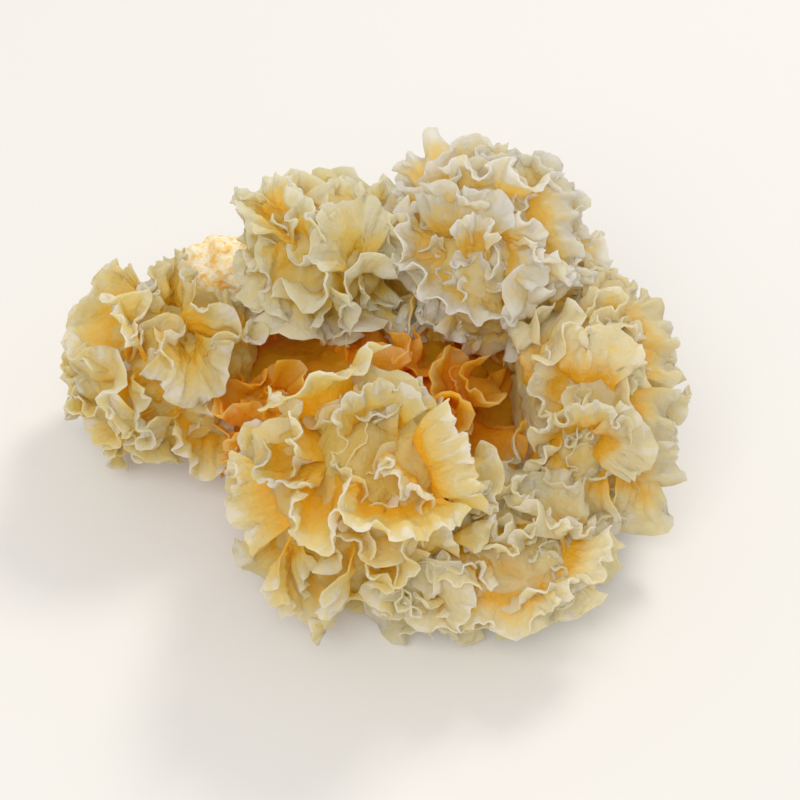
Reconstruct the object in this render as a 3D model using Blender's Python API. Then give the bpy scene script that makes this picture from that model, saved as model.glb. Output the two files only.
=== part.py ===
"""Dried snow fungus: one head of thin, ruffled fronds on a cut foot.

Metres, +Z up. The origin is the middle of the flat cut underside of the foot, on the
surface that the head rests on; +Y points to the back of the head.

The foot is the orange middle of the growth. It forks into seven lobes. A lobe is a core
with fronds grown out of it, and every frond is a curved sheet from a short root inside the
core to a long, wavy margin. Neighbouring lobes press against each other along flat meeting
faces, which keep a small gap.

The margins are laid out as they are seen from in front and above: a picture point is
(right, down) on a square picture of the head, and a lift says how far in front of the
rounded outside of its lobe the point stands.
"""
import math
import random
from dataclasses import dataclass

import bmesh
import bpy
import numpy as np
from mathutils import Matrix, Vector

MM = 0.001

# The picture that the margins are laid out on
POINT = 0.209 * MM                     # real width of one picture point at the origin
VIEW_HEIGHT = math.radians(46.0)       # angle of the line of sight above the ground
VIEW_ROLL = math.radians(4.0)          # the ground line drops to the right by this much
VIEW_DISTANCE = 400 * MM               # from the eye to the origin
ORIGIN_POINT = (368.0, 453.0)          # picture point of the origin

# Driving dimensions of a frond
ROOT_THICK = 3.4 * MM                  # thickness at the root; the margin runs out to nothing
COLUMN_STEP = 4.4 * MM                 # spacing of the cross sections along a margin
ROWS = (0.0, 0.6, 1.0)                 # levels between root (0) and margin (1)
ROOT_SHARE = 0.42                      # length of the root as a share of the margin's
ROOT_SINK = 13 * MM                    # depth of the root below the lobe's outside
BULGE = 1.6 * MM                       # how far the sheet bellies out half way up
RUFFLE = 1.5 * MM                      # height of the waves at the margin
WAVE = 11 * MM                         # length of one wave along the margin

CORE_SHARE = 0.56                      # size of a lobe's core as a share of the lobe
SIMPLE_SHARE = 0.62                    # share of the faces that is kept after joining
LUMP_DETAIL = 2                        # subdivisions of the cores
CORE_ROUGH = 0.10                      # unevenness of the cores, as a share of their size
MEETING_GAP = 0.30 * MM                # between the flat meeting faces of two neighbours
NECK_SHARE = 0.42                      # thickness of the branch that carries a lobe

CELL_SIZE = 0.4                        # block that a lobe's space is cut from, wider than the head
NECK_SIDES = 10
NECK_FLARE = 1.3                       # a neck is this much thicker where it leaves the foot

# Fronds that fill a lobe's outside between the ones laid out below
FILL_TRIES = 90
FILL_SPACING = 9.5 * MM
FILL_HALF_LENGTH = (9 * MM, 13 * MM)
FILL_SWAY = 4 * MM
GOLDEN_TURN = math.pi * (3.0 - math.sqrt(5.0))

SEED = 20


@dataclass
class Lobe:
    """A rounded mass of the head: its picture point, its height and its three radii."""
    seen: tuple
    height: float
    radii: tuple
    colour: tuple

    @property
    def centre(self):
        return at_height(self.seen, self.height)


@dataclass
class Frond:
    """One ruffled sheet: its margin as (right, down, lift in mm) and where its root lies."""
    margin: list
    root_shift: tuple = (0.0, 30.0)
    sink: float = 13.0
    ruffle: float = 1.0


CREAM = (0.80, 0.71, 0.49)
YELLOW = (0.78, 0.60, 0.27)
ORANGE = (0.73, 0.36, 0.07)
PALE_ORANGE = (0.86, 0.58, 0.28)

LOBES = {
    "foot": Lobe((372, 415), 12 * MM, (35 * MM, 29 * MM, 17 * MM), ORANGE),
    "cut_stub": Lobe((226, 270), 24 * MM, (9 * MM, 8 * MM, 8 * MM), PALE_ORANGE),
    "left_lobe": Lobe((168, 366), 21 * MM, (23 * MM, 24 * MM, 21 * MM), CREAM),
    "upper_left_lobe": Lobe((314, 252), 40 * MM, (19 * MM, 19 * MM, 18 * MM), CREAM),
    "upper_right_lobe": Lobe((494, 250), 42 * MM, (22 * MM, 24 * MM, 22 * MM), CREAM),
    "right_lobe": Lobe((588, 396), 25 * MM, (20 * MM, 29 * MM, 25 * MM), YELLOW),
    "front_lobe": Lobe((361, 488), 26 * MM, (27 * MM, 25 * MM, 27 * MM), CREAM),
    "front_right_lobe": Lobe((492, 556), 14 * MM, (24 * MM, 19 * MM, 15 * MM), YELLOW),
    "back_lobe": Lobe((384, 298), 18 * MM, (31 * MM, 17 * MM, 19 * MM), CREAM),
}
BARE = ("foot", "cut_stub")            # these grow no fronds between the laid out ones

# The laid out fronds of each mass, by name; a margin runs from one end of the sheet to the other
FRONDS = {
    "left_lobe": {
        "outer_edge": Frond([(106, 262, 0), (79, 290, 0), (60, 340, 0), (84, 373, 1)], (45, 10)),
        "pointed_tip": Frond([(108, 336, 0), (130, 284, 1), (150, 332, 1)], (0, 34), 9, 0.4),
        "grey_facet": Frond([(146, 276, 0), (180, 250, 0), (205, 291, 0)], (-5, 42), 11, 0.5),
        "broad_shoulder": Frond([(200, 292, 1), (250, 322, 0), (274, 346, 0), (232, 374, 0)], (-38, 8), 10, 0.4),
        "facing_fan": Frond([(220, 350, 2), (222, 378, 2), (189, 406, 2), (154, 366, 2)], (0, -42), 10, 0.5),
        "lower_edge": Frond([(64, 371, 0), (97, 380, 1), (102, 418, 1), (124, 420, 1)], (42, -8)),
        "low_tip": Frond([(120, 392, 1), (138, 450, 0), (172, 436, 0)], (18, -40)),
        "low_loops": Frond([(180, 440, 0), (200, 472, 0), (232, 470, 0), (246, 442, 0)], (0, -42)),
    },
    "upper_left_lobe": {
        "outer_edge": Frond([(246, 246, 0), (229, 212, 0), (234, 186, 0), (262, 180, 0)], (42, 18)),
        "grey_leaf": Frond([(280, 222, 2), (286, 186, 2), (314, 194, 2), (336, 228, 2)], (-4, 40), 10, 0.4),
        "cream_cup": Frond([(342, 262, 1), (338, 226, 1), (362, 210, 1), (388, 232, 1)], (0, 36), 10, 0.6),
        "crest": Frond([(314, 182, -5), (335, 163, -6), (350, 176, -6), (394, 168, -6)], (4, 42)),
        "hanging_edge": Frond([(250, 262, 0), (268, 304, 0), (302, 334, -1), (318, 318, 0)], (16, -44)),
        "hanging_tips": Frond([(322, 300, 0), (340, 338, -1), (358, 330, -1), (392, 328, -2)], (0, -46)),
    },
    "upper_right_lobe": {
        "crest": Frond([(397, 150, -4), (424, 128, -6), (450, 128, -6), (472, 140, -6)], (10, 48)),
        "crest_right": Frond([(476, 142, -6), (512, 158, -5), (545, 159, -5), (562, 178, -4)], (-10, 44)),
        "outer_edge": Frond([(564, 176, -3), (572, 212, -2), (580, 254, -2), (594, 284, -2)], (-50, 8)),
        "upper_ribbon": Frond([(398, 176, 0), (446, 182, 0), (492, 196, 0)], (2, 24), 10, 0.5),
        "lower_ribbon": Frond([(414, 204, 1), (474, 200, 1), (500, 226, 1)], (0, 24), 8, 0.5),
        "left_fall": Frond([(400, 190, 0), (398, 232, 0), (398, 262, 0)], (32, 4), 12, 0.6),
        "lower_ruffle": Frond([(398, 262, 0), (426, 296, 0), (458, 317, 0), (508, 334, -1)], (10, -46)),
        "hanging_fan": Frond([(448, 330, -5), (484, 362, -6), (514, 344, -6), (540, 338, -6)], (4, -46)),
        "hanging_cup": Frond([(398, 336, -9), (414, 372, -9), (454, 364, -8), (442, 318, -7)], (-2, -48), 9, 0.4),
        "pale_frill": Frond([(538, 230, 0), (568, 262, 0), (597, 302, 0), (584, 324, -1)], (-42, -12)),
    },
    "right_lobe": {
        "crest": Frond([(584, 262, -5), (616, 257, -6), (640, 278, -6), (652, 298, -5)], (-16, 46)),
        "shoulder": Frond([(654, 300, -3), (676, 340, -2), (676, 386, -2)], (-50, 4)),
        "outer_edge": Frond([(674, 388, 0), (668, 432, 0), (665, 462, 0), (673, 496, 0)], (-46, -8)),
        "low_corner": Frond([(672, 500, 0), (668, 520, 0), (645, 530, 0), (620, 518, 0)], (-16, -44)),
        "low_edge": Frond([(612, 516, 0), (588, 524, 0), (562, 508, 0), (534, 486, 0)], (10, -44)),
        "upper_pocket": Frond([(560, 334, 0), (584, 348, 0), (612, 342, 0), (628, 366, 0)], (-4, 36)),
        "middle_pocket": Frond([(556, 404, 0), (584, 396, 1), (622, 404, 1), (640, 420, 0)], (0, 34)),
        "inner_edge": Frond([(548, 352, -1), (538, 392, -2), (550, 424, -1), (536, 452, -1)], (32, 0)),
    },
    "front_lobe": {
        "long_ribbon": Frond([(368, 338, -1), (340, 354, 0), (300, 378, 0), (266, 392, 0)], (6, 34), 11, 0.3),
        "arched_ribbon": Frond([(334, 412, 2), (348, 388, 2), (396, 373, 1), (432, 398, 1)], (2, 32), 11, 0.3),
        "right_ribbon": Frond([(436, 402, 1), (450, 432, 0), (463, 476, 0), (468, 496, 0)], (-34, 4), 11, 0.3),
        "left_curl": Frond([(268, 398, 0), (280, 436, 0), (258, 446, 0), (264, 486, 0)], (32, -4), 12, 0.5),
        "white_loop": Frond([(354, 486, 2), (366, 514, 2), (408, 525, 2), (466, 500, 1)], (0, -38), 9, 0.3),
        "pale_side": Frond([(234, 466, 0), (235, 508, 0), (257, 546, 0)], (42, -16), 12, 0.6),
        "tall_loop": Frond([(298, 496, 2), (304, 534, 2), (320, 542, 2), (334, 504, 2)], (0, -38), 10, 0.4),
        "low_fan": Frond([(270, 582, 0), (286, 616, 0), (334, 628, 0), (356, 592, 0)], (2, -50), 12, 0.8),
    },
    "front_right_lobe": {
        "low_left": Frond([(374, 546, 0), (386, 582, 0), (408, 612, 0), (436, 618, 0)], (22, -32), 9),
        "low_ruffle": Frond([(440, 618, 0), (484, 624, 0), (518, 628, 0), (560, 604, 0)], (-2, -38), 9),
        "right_tips": Frond([(562, 602, 0), (596, 576, 0), (610, 540, 0)], (-42, -14), 10),
        "rosette": Frond([(484, 512, 1), (486, 546, 2), (514, 556, 2), (538, 530, 1)], (2, -20), 7, 0.7),
        "long_ridge": Frond([(376, 534, 1), (420, 544, 2), (452, 562, 2), (480, 572, 2)], (2, -26), 8, 0.6),
        "small_ridge": Frond([(542, 514, 0), (562, 536, 1), (596, 530, 0)], (-4, -24), 8, 0.7),
    },
    "foot": {
        "hollow_rim": Frond([(440, 372, 2), (470, 396, 3), (520, 388, 3), (548, 410, 2)], (-2, 34), 9, 0.5),
        "hollow_fold": Frond([(446, 424, 3), (486, 440, 4), (530, 448, 4)], (-2, 30), 9, 0.5),
        "left_fold": Frond([(232, 384, 3), (276, 404, 4), (262, 440, 4)], (34, -6), 10, 0.3),
    },
}


def sight():
    """Unit vectors of the picture: to its right, to its top, and towards the eye."""
    up = np.array((0.0, math.sin(VIEW_HEIGHT), math.cos(VIEW_HEIGHT)))
    east = np.array((1.0, 0.0, 0.0))
    right = math.cos(VIEW_ROLL) * east + math.sin(VIEW_ROLL) * up
    top = -math.sin(VIEW_ROLL) * east + math.cos(VIEW_ROLL) * up
    towards = np.array((0.0, -math.cos(VIEW_HEIGHT), math.sin(VIEW_HEIGHT)))
    return right, top, towards


def ray(seen):
    """Eye position and unit direction of the line of sight through a picture point."""
    right, top, towards = sight()
    across = (seen[0] - ORIGIN_POINT[0]) * POINT
    upward = (ORIGIN_POINT[1] - seen[1]) * POINT
    eye = VIEW_DISTANCE * towards
    direction = across * right + upward * top - eye
    return eye, direction / np.linalg.norm(direction)


def at_height(seen, height):
    """World position of the picture point that lies at this height above the ground."""
    eye, direction = ray(seen)
    return eye + direction * ((height - eye[2]) / direction[2])


def on_lobe(lobe, seen, lift):
    """World position on the outside of a lobe that shows at a picture point."""
    eye, direction = ray(seen)
    radii = np.array(lobe.radii)
    start = (eye - lobe.centre) / radii
    step = direction / radii
    middle = -start.dot(step) / step.dot(step)
    closest = start + step * middle
    room = 1.0 - closest.dot(closest)
    back = math.sqrt(room / step.dot(step)) if room > 0.0 else 0.0
    return eye + direction * (middle - back - lift * MM)


def smooth_line(points, count):
    """Evenly spaced points on a Catmull-Rom curve through the given points."""
    points = np.asarray(points, dtype=float)
    ends = np.vstack((2 * points[0] - points[1], points, 2 * points[-1] - points[-2]))
    dense = []
    for index in range(1, len(ends) - 2):
        a, b, c, d = ends[index - 1:index + 3]
        for t in np.linspace(0.0, 1.0, 12, endpoint=False):
            linear = 2 * b + (c - a) * t
            curved = (2 * a - 5 * b + 4 * c - d) * t ** 2 + (3 * b - a - 3 * c + d) * t ** 3
            dense.append(0.5 * (linear + curved))
    dense.append(ends[-2])
    dense = np.array(dense)
    steps = np.linalg.norm(np.diff(dense, axis=0), axis=1)
    along = np.concatenate(((0.0,), np.cumsum(steps)))
    wanted = np.linspace(0.0, along[-1], count)
    return np.stack([np.interp(wanted, along, dense[:, axis]) for axis in range(3)], axis=1)


def line_length(points):
    """Length of a line of points."""
    return float(np.linalg.norm(np.diff(points, axis=0), axis=1).sum())


def into_core(points, lobe):
    """The points, with those outside the core's skin moved just inside it."""
    core = np.array(lobe.radii) * CORE_SHARE
    inside = 0.80
    local = (points - lobe.centre) / core
    reach = np.linalg.norm(local, axis=1, keepdims=True)
    return lobe.centre + core * local * np.minimum(1.0, inside / reach)


def sheet(margin, root, ruffle, phase):
    """Middle surface of a frond as a grid of points, rows from the root to the margin."""
    count = len(margin)
    along = np.gradient(margin, axis=0)
    outward = margin - root
    normal = np.cross(along, outward)
    normal /= np.linalg.norm(normal, axis=1, keepdims=True) + 1e-12
    waves = line_length(margin) / WAVE
    turn = phase + 2 * math.pi * waves * np.linspace(0.0, 1.0, count)
    rows = []
    for level in ROWS:
        belly = BULGE * 4 * level * (1 - level)
        wave = RUFFLE * ruffle * level ** 2 * np.sin(turn + 0.7 * level)
        rows.append(root + outward * level + normal * (belly + wave)[:, None])
    return np.array(rows)


def frond_mesh(rows):
    """Closed mesh round a grid of points, thick at the root and running out at the margin."""
    along = np.gradient(rows, axis=1)
    outward = np.gradient(rows, axis=0)
    normal = np.cross(along, outward)
    normal /= np.linalg.norm(normal, axis=2, keepdims=True) + 1e-12
    levels = np.array(ROWS)[:, None, None]
    half = normal * ROOT_THICK / 2 * (1 - levels) ** 0.7
    mesh = bmesh.new()
    last = len(rows) - 1
    margin = [mesh.verts.new(point) for point in rows[last]]
    front = [[mesh.verts.new(p) for p in line] for line in (rows + half)[:last]] + [margin]
    back = [[mesh.verts.new(p) for p in line] for line in (rows - half)[:last]] + [margin]
    for i in range(last):
        for j in range(len(margin) - 1):
            mesh.faces.new((front[i][j], front[i][j + 1], front[i + 1][j + 1], front[i + 1][j]))
            mesh.faces.new((back[i][j], back[i + 1][j], back[i + 1][j + 1], back[i][j + 1]))
        for j in (0, -1):
            corners = (front[i][j], front[i + 1][j], back[i + 1][j], back[i][j])
            mesh.faces.new(list(dict.fromkeys(corners)))
    for j in range(len(margin) - 1):
        mesh.faces.new((front[0][j], back[0][j], back[0][j + 1], front[0][j + 1]))
    bmesh.ops.triangulate(mesh, faces=mesh.faces)
    bmesh.ops.recalc_face_normals(mesh, faces=mesh.faces)
    return mesh


def lump(centre, radii, rough, rng):
    """Uneven closed ball with three radii."""
    mesh = bmesh.new()
    bmesh.ops.create_icosphere(mesh, subdivisions=LUMP_DETAIL, radius=1.0)
    tilt = [rng.uniform(0, math.tau) for _ in range(6)]
    for vert in mesh.verts:
        x, y, z = vert.co
        bump = math.sin(3.1 * x + tilt[0]) * math.sin(2.7 * y + tilt[1])
        bump += 0.6 * math.sin(4.3 * y + tilt[2]) * math.sin(3.9 * z + tilt[3])
        bump += 0.5 * math.sin(5.1 * z + tilt[4]) * math.sin(4.7 * x + tilt[5])
        size = 1.0 + rough * bump
        vert.co = [centre[axis] + radii[axis] * size * vert.co[axis] for axis in range(3)]
    return mesh


def mesh_object(name, mesh):
    """Blender object that holds a bmesh."""
    data = bpy.data.meshes.new(name)
    mesh.to_mesh(data)
    mesh.free()
    item = bpy.data.objects.new(name, data)
    bpy.context.scene.collection.objects.link(item)
    return item


def drop(item):
    """Remove a helper object and its mesh."""
    data = item.data
    bpy.data.objects.remove(item, do_unlink=True)
    bpy.data.meshes.remove(data)


def closed(data):
    """Whether every edge of a mesh joins exactly two faces."""
    mesh = bmesh.new()
    mesh.from_mesh(data)
    result = all(edge.is_manifold for edge in mesh.edges)
    mesh.free()
    return result


def relaxed(rows):
    """A grid of points with its bends eased along each row."""
    eased = rows.copy()
    eased[:, 1:-1] = 0.5 * rows[:, 1:-1] + 0.25 * (rows[:, :-2] + rows[:, 2:])
    return eased


def boolean(item, other, operation):
    """Join, cut or intersect an object with another, which is used up; False if it failed."""
    modifier = item.modifiers.new(operation.lower(), "BOOLEAN")
    modifier.operation = operation
    modifier.solver = "EXACT"
    modifier.use_self = True
    modifier.object = other
    graph = bpy.context.evaluated_depsgraph_get()
    result = bpy.data.meshes.new_from_object(item.evaluated_get(graph))
    item.modifiers.clear()
    drop(other)
    if not closed(result):
        bpy.data.meshes.remove(result)
        return False
    old = item.data
    item.data = result
    bpy.data.meshes.remove(old)
    return True


def simplified(item):
    """Take the smallest faces out of the joined fronds; the mesh stays closed."""
    for share in (SIMPLE_SHARE, SIMPLE_SHARE + 0.06, SIMPLE_SHARE + 0.12):
        modifier = item.modifiers.new("simplify", "DECIMATE")
        modifier.ratio = share
        graph = bpy.context.evaluated_depsgraph_get()
        result = bpy.data.meshes.new_from_object(item.evaluated_get(graph))
        item.modifiers.clear()
        if closed(result):
            old = item.data
            item.data = result
            bpy.data.meshes.remove(old)
            return
        bpy.data.meshes.remove(result)


def join_frond(item, rows):
    """Grow a frond on an object; one that folds too tightly to join is relaxed until it does."""
    for _ in range(6):
        if boolean(item, mesh_object("frond", frond_mesh(rows)), "UNION"):
            return
        rows = relaxed(rows)


def meeting_plane(lobe, other):
    """Point and outward normal of the flat face where a lobe meets another."""
    towards = other.centre - lobe.centre
    distance = np.linalg.norm(towards)
    direction = towards / distance
    own = 1.0 / np.linalg.norm(direction / np.array(lobe.radii))
    theirs = 1.0 / np.linalg.norm(direction / np.array(other.radii))
    reach = distance * own / (own + theirs)
    return lobe.centre + direction * (reach - MEETING_GAP / 2), direction


def others(lobe):
    """All masses of the head but this one."""
    return [other for other in LOBES.values() if other is not lobe]


def cell(name):
    """Convex block of space that belongs to a lobe, flat at the ground."""
    mesh = bmesh.new()
    bmesh.ops.create_cube(mesh, size=CELL_SIZE)
    planes = [(np.zeros(3), np.array((0.0, 0.0, -1.0)))]
    planes += [meeting_plane(LOBES[name], other) for other in others(LOBES[name])]
    for point, direction in planes:
        everything = mesh.verts[:] + mesh.edges[:] + mesh.faces[:]
        bmesh.ops.bisect_plane(mesh, geom=everything, plane_co=point, plane_no=direction,
                               clear_outer=True)
        open_edges = [edge for edge in mesh.edges if edge.is_boundary]
        if open_edges:
            bmesh.ops.contextual_create(mesh, geom=open_edges)
    bmesh.ops.recalc_face_normals(mesh, faces=mesh.faces)
    return mesh_object(name + "_cell", mesh)


def keep_largest(item):
    """Drop loose crumbs and closed pockets that the joins left in a mesh."""
    mesh = bmesh.new()
    mesh.from_mesh(item.data)
    bmesh.ops.triangulate(mesh, faces=mesh.faces)
    todo = set(mesh.verts)
    islands = []
    while todo:
        stack = [todo.pop()]
        island = set(stack)
        while stack:
            vert = stack.pop()
            for edge in vert.link_edges:
                near = edge.other_vert(vert)
                if near in todo:
                    todo.discard(near)
                    island.add(near)
                    stack.append(near)
        islands.append(island)
    islands.sort(key=len)
    for island in islands[:-1]:
        bmesh.ops.delete(mesh, geom=list(island), context="VERTS")
    mesh.to_mesh(item.data)
    mesh.free()


def between_fronds(lobe, margins, rng):
    """Margins and roots of the fronds that fill the outside of a lobe between the given ones."""
    radii = np.array(lobe.radii)
    taken = [margin for margin in margins]
    found = []
    for index in range(FILL_TRIES):
        rise = 1.0 - 2.0 * (index + 0.5) / FILL_TRIES
        turn = index * GOLDEN_TURN
        flat = math.sqrt(1.0 - rise * rise)
        direction = np.array((flat * math.cos(turn), flat * math.sin(turn), rise))
        place = lobe.centre + radii * direction
        if place[2] < -2 * MM or any(inside(other, place) for other in others(lobe)):
            continue
        if any(np.linalg.norm(margin - place, axis=1).min() < FILL_SPACING for margin in taken):
            continue
        margin, root = fill_frond(lobe, direction, rng)
        taken.append(margin)
        found.append((margin, root))
    return found


def inside(lobe, place):
    """Whether a place lies inside the rounded outside of a lobe."""
    return np.linalg.norm((place - lobe.centre) / np.array(lobe.radii)) < 1.02


def fill_frond(lobe, direction, rng):
    """Margin and root of a frond that stands out of a lobe in this direction."""
    radii = np.array(lobe.radii)
    place = lobe.centre + radii * direction
    turn = rng.uniform(-0.9, 0.9)
    side = np.cross((0.0, 0.0, 1.0), direction)
    side /= np.linalg.norm(side)
    upright = np.cross(direction, side)
    course = math.cos(turn) * side + math.sin(turn) * upright
    cross = np.cross(direction, course)
    half = rng.uniform(*FILL_HALF_LENGTH)
    sway = rng.uniform(-FILL_SWAY, FILL_SWAY)
    line = []
    for index, stop in enumerate((-1.0, -0.35, 0.35, 1.0)):
        point = place + course * half * stop + cross * sway * (-1) ** index
        local = (point - lobe.centre) / radii
        line.append(lobe.centre + radii * local / np.linalg.norm(local))
    margin = smooth_line(line, columns(line))
    middle = margin.mean(axis=0)
    anchor = middle - direction * ROOT_SINK - cross * rng.uniform(-6, 6) * MM
    root = into_core(anchor + (margin - middle) * ROOT_SHARE, lobe)
    return margin, root


def neck(lobe):
    """Round branch from the middle of the foot to the core of a lobe."""
    start = Vector(LOBES["foot"].centre)
    end = Vector(lobe.centre)
    wide = NECK_SHARE * min(lobe.radii)
    mesh = bmesh.new()
    bmesh.ops.create_cone(mesh, cap_ends=True, segments=NECK_SIDES, radius1=wide * NECK_FLARE,
                          radius2=wide, depth=(end - start).length)
    turn = (end - start).to_track_quat("Z", "Y").to_matrix().to_4x4()
    mesh.transform(Matrix.Translation((start + end) / 2) @ turn)
    return mesh


def columns(line):
    """Number of cross sections for a margin through these points."""
    return max(5, int(round(line_length(np.asarray(line)) / COLUMN_STEP)) + 1)


def laid_out(lobe, frond):
    """Margin and root lines of a frond that is laid out on the picture."""
    line = [on_lobe(lobe, (x, y), lift) for x, y, lift in frond.margin]
    margin = smooth_line(line, columns(line))
    middle_seen = np.mean([(x, y) for x, y, _ in frond.margin], axis=0)
    middle_lift = np.mean([lift for _, _, lift in frond.margin])
    anchor_seen = middle_seen + np.array(frond.root_shift)
    anchor = on_lobe(lobe, anchor_seen, middle_lift - frond.sink)
    root = into_core(anchor + (margin - margin.mean(axis=0)) * ROOT_SHARE, lobe)
    return margin, root


def grow(name, rng):
    """One mass of the head, joined and trimmed to its own space."""
    lobe = LOBES[name]
    share = 1.0 if name in BARE else CORE_SHARE
    core = np.array(lobe.radii) * share
    item = mesh_object(name, lump(lobe.centre, core, CORE_ROUGH, rng))
    if name != "foot":
        boolean(item, mesh_object("neck", neck(lobe)), "UNION")
    sheets = [(laid_out(lobe, frond), frond.ruffle) for frond in FRONDS.get(name, {}).values()]
    if name not in BARE:
        margins = [margin for (margin, _), _ in sheets]
        sheets += [(lines, 1.0) for lines in between_fronds(lobe, margins, rng)]
    for (margin, root), ruffle in sheets:
        rows = sheet(margin, root, ruffle, rng.uniform(0, math.tau))
        join_frond(item, rows)
    keep_largest(item)
    simplified(item)
    boolean(item, cell(name), "INTERSECT")
    keep_largest(item)
    return item


def dress(item, colour):
    """Give an object its own dull, dry material."""
    material = bpy.data.materials.new(item.name + "_flesh")
    material.use_nodes = True
    shader = material.node_tree.nodes["Principled BSDF"]
    shader.inputs["Base Color"].default_value = (*colour, 1.0)
    shader.inputs["Roughness"].default_value = 0.6
    shader.inputs["Metallic"].default_value = 0.0
    item.data.materials.clear()
    item.data.materials.append(material)


def main():
    for item in list(bpy.data.objects):
        bpy.data.objects.remove(item, do_unlink=True)
    for name, lobe in LOBES.items():
        rng = random.Random(SEED + len(name))
        item = grow(name, rng)
        dress(item, lobe.colour)


main()
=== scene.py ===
"""Looks of a dried snow fungus head: ruffled fronds, the orange foot and its rough cut stub.

Metres, +Z up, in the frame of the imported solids. Every frond starts as a smooth fan between a
root in the core of its lobe and a margin laid out as it is seen from in front and above. The
margin then grows longer than its room, and the sheet relaxes into ruffles.
"""

import logging
import math
from dataclasses import dataclass, field
from enum import Enum
from typing import Any, Callable, Optional, Sequence

import bmesh
import bpy
import numpy as np
from mathutils import Matrix, Vector, noise

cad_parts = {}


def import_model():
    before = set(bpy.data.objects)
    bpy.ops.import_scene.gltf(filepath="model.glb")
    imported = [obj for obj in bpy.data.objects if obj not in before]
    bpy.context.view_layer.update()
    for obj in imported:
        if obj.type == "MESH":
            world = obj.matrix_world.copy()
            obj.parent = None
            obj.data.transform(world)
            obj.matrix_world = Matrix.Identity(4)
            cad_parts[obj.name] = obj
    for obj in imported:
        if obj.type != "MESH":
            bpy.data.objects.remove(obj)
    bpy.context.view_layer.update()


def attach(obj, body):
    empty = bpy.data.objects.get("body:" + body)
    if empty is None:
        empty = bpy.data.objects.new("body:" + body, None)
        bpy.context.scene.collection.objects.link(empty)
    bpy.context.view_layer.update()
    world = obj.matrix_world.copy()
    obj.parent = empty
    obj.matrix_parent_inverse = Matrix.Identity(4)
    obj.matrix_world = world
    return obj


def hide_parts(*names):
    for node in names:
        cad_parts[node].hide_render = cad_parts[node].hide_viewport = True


log = logging.getLogger("snow_fungus")

MM = 0.001
SEED = 11
TINY = 1e-12  # keeps a division by the length of a vector defined
NEAREST = 1e-9  # metres; keeps a division by the distance of two points defined
CURVE_STEPS = 16  # steps from one point of a smooth line to the next
COLUMNS = 15  # points along the margin of a young frond
ROWS = 6  # points from its root to its margin
Point2 = tuple[float, float]
Point3 = tuple[float, float, float]
Array = np.ndarray
Random = np.random.Generator


@dataclass(frozen=True)
class Growth:
    """How far a margin outgrows its room in broad and in fine waves, and how stiff it is."""

    broad: float
    fine: float
    bend: float


class Crinkle(Enum):
    """Kinds of ruffle, from the calmest to the tightest."""

    SMOOTH = Growth(0.10, 0.06, 0.55)
    BROAD = Growth(0.20, 0.12, 0.42)
    SOFT = Growth(0.34, 0.18, 0.36)
    FRILLED = Growth(0.45, 0.20, 0.30)
    FINE = Growth(0.50, 0.27, 0.26)


@dataclass(frozen=True)
class View:
    """The line of sight that the margins are laid out on, and the camera's."""

    point: float = 0.209 * MM
    height: float = math.radians(46.0)
    roll: float = math.radians(4.0)
    distance: float = 400 * MM
    origin: Point2 = (368.0, 453.0)
    picture: float = 800.0

    def axes(self) -> tuple[Array, Array, Array]:
        """Give the picture's directions.

        Returns:
            Unit vectors to the picture's right, to its top and towards the eye.
        """
        up = np.array((0.0, math.sin(self.height), math.cos(self.height)))
        east = np.array((1.0, 0.0, 0.0))
        right = math.cos(self.roll) * east + math.sin(self.roll) * up
        top = -math.sin(self.roll) * east + math.cos(self.roll) * up
        towards = np.array((0.0, -math.cos(self.height), math.sin(self.height)))
        return right, top, towards

    def ray(self, seen: Sequence[float]) -> tuple[Array, Array]:
        """Give the line of sight through a picture point.

        Args:
            seen: picture point, right and down.

        Returns:
            The eye's place and the unit direction from it.
        """
        right, top, towards = self.axes()
        across = (seen[0] - self.origin[0]) * self.point
        upward = (self.origin[1] - seen[1]) * self.point
        eye = self.distance * towards
        direction = across * right + upward * top - eye
        return eye, direction / np.linalg.norm(direction)

    def at_height(self, seen: Sequence[float], height: float) -> Array:
        """Give the place at a height above the ground that shows at a picture point."""
        eye, direction = self.ray(seen)
        return eye + direction * ((height - eye[2]) / direction[2])

    def seen(self, places: Array) -> Array:
        """Give the picture points at which places show.

        Args:
            places: the places, one a row.

        Returns:
            Picture points, right and down.
        """
        right, top, towards = self.axes()
        shrink = self.distance / (self.distance - places @ towards) / self.point
        across = self.origin[0] + places @ right * shrink
        return np.stack((across, self.origin[1] - places @ top * shrink), axis=-1)


VIEW = View()


@dataclass(frozen=True)
class Mass:
    """A rounded mass of the head: where its middle shows, how high that lies, and its radii."""

    seen: Point2
    height: float
    radii: Point3

    @property
    def centre(self) -> Array:
        """Middle of the mass."""
        return VIEW.at_height(self.seen, self.height)

    def local(self, places: Array) -> Array:
        """Places in units of the radii, from the middle."""
        return (places - self.centre) / np.array(self.radii)

    def surface(self, seen: Sequence[float], lift: float) -> Array:
        """Give the place on the outside of the mass that shows at a picture point.

        Args:
            seen: picture point, right and down.
            lift: distance in front of the outside, towards the eye.

        Returns:
            The place; beside the outline it is the one nearest to the mass.
        """
        eye, direction = VIEW.ray(seen)
        radii = np.array(self.radii)
        start = (eye - self.centre) / radii
        step = direction / radii
        middle = -start.dot(step) / step.dot(step)
        closest = start + step * middle
        room = 1.0 - closest.dot(closest)
        back = math.sqrt(room / step.dot(step)) if room > 0.0 else 0.0
        return eye + direction * (middle - back - lift)


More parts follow.
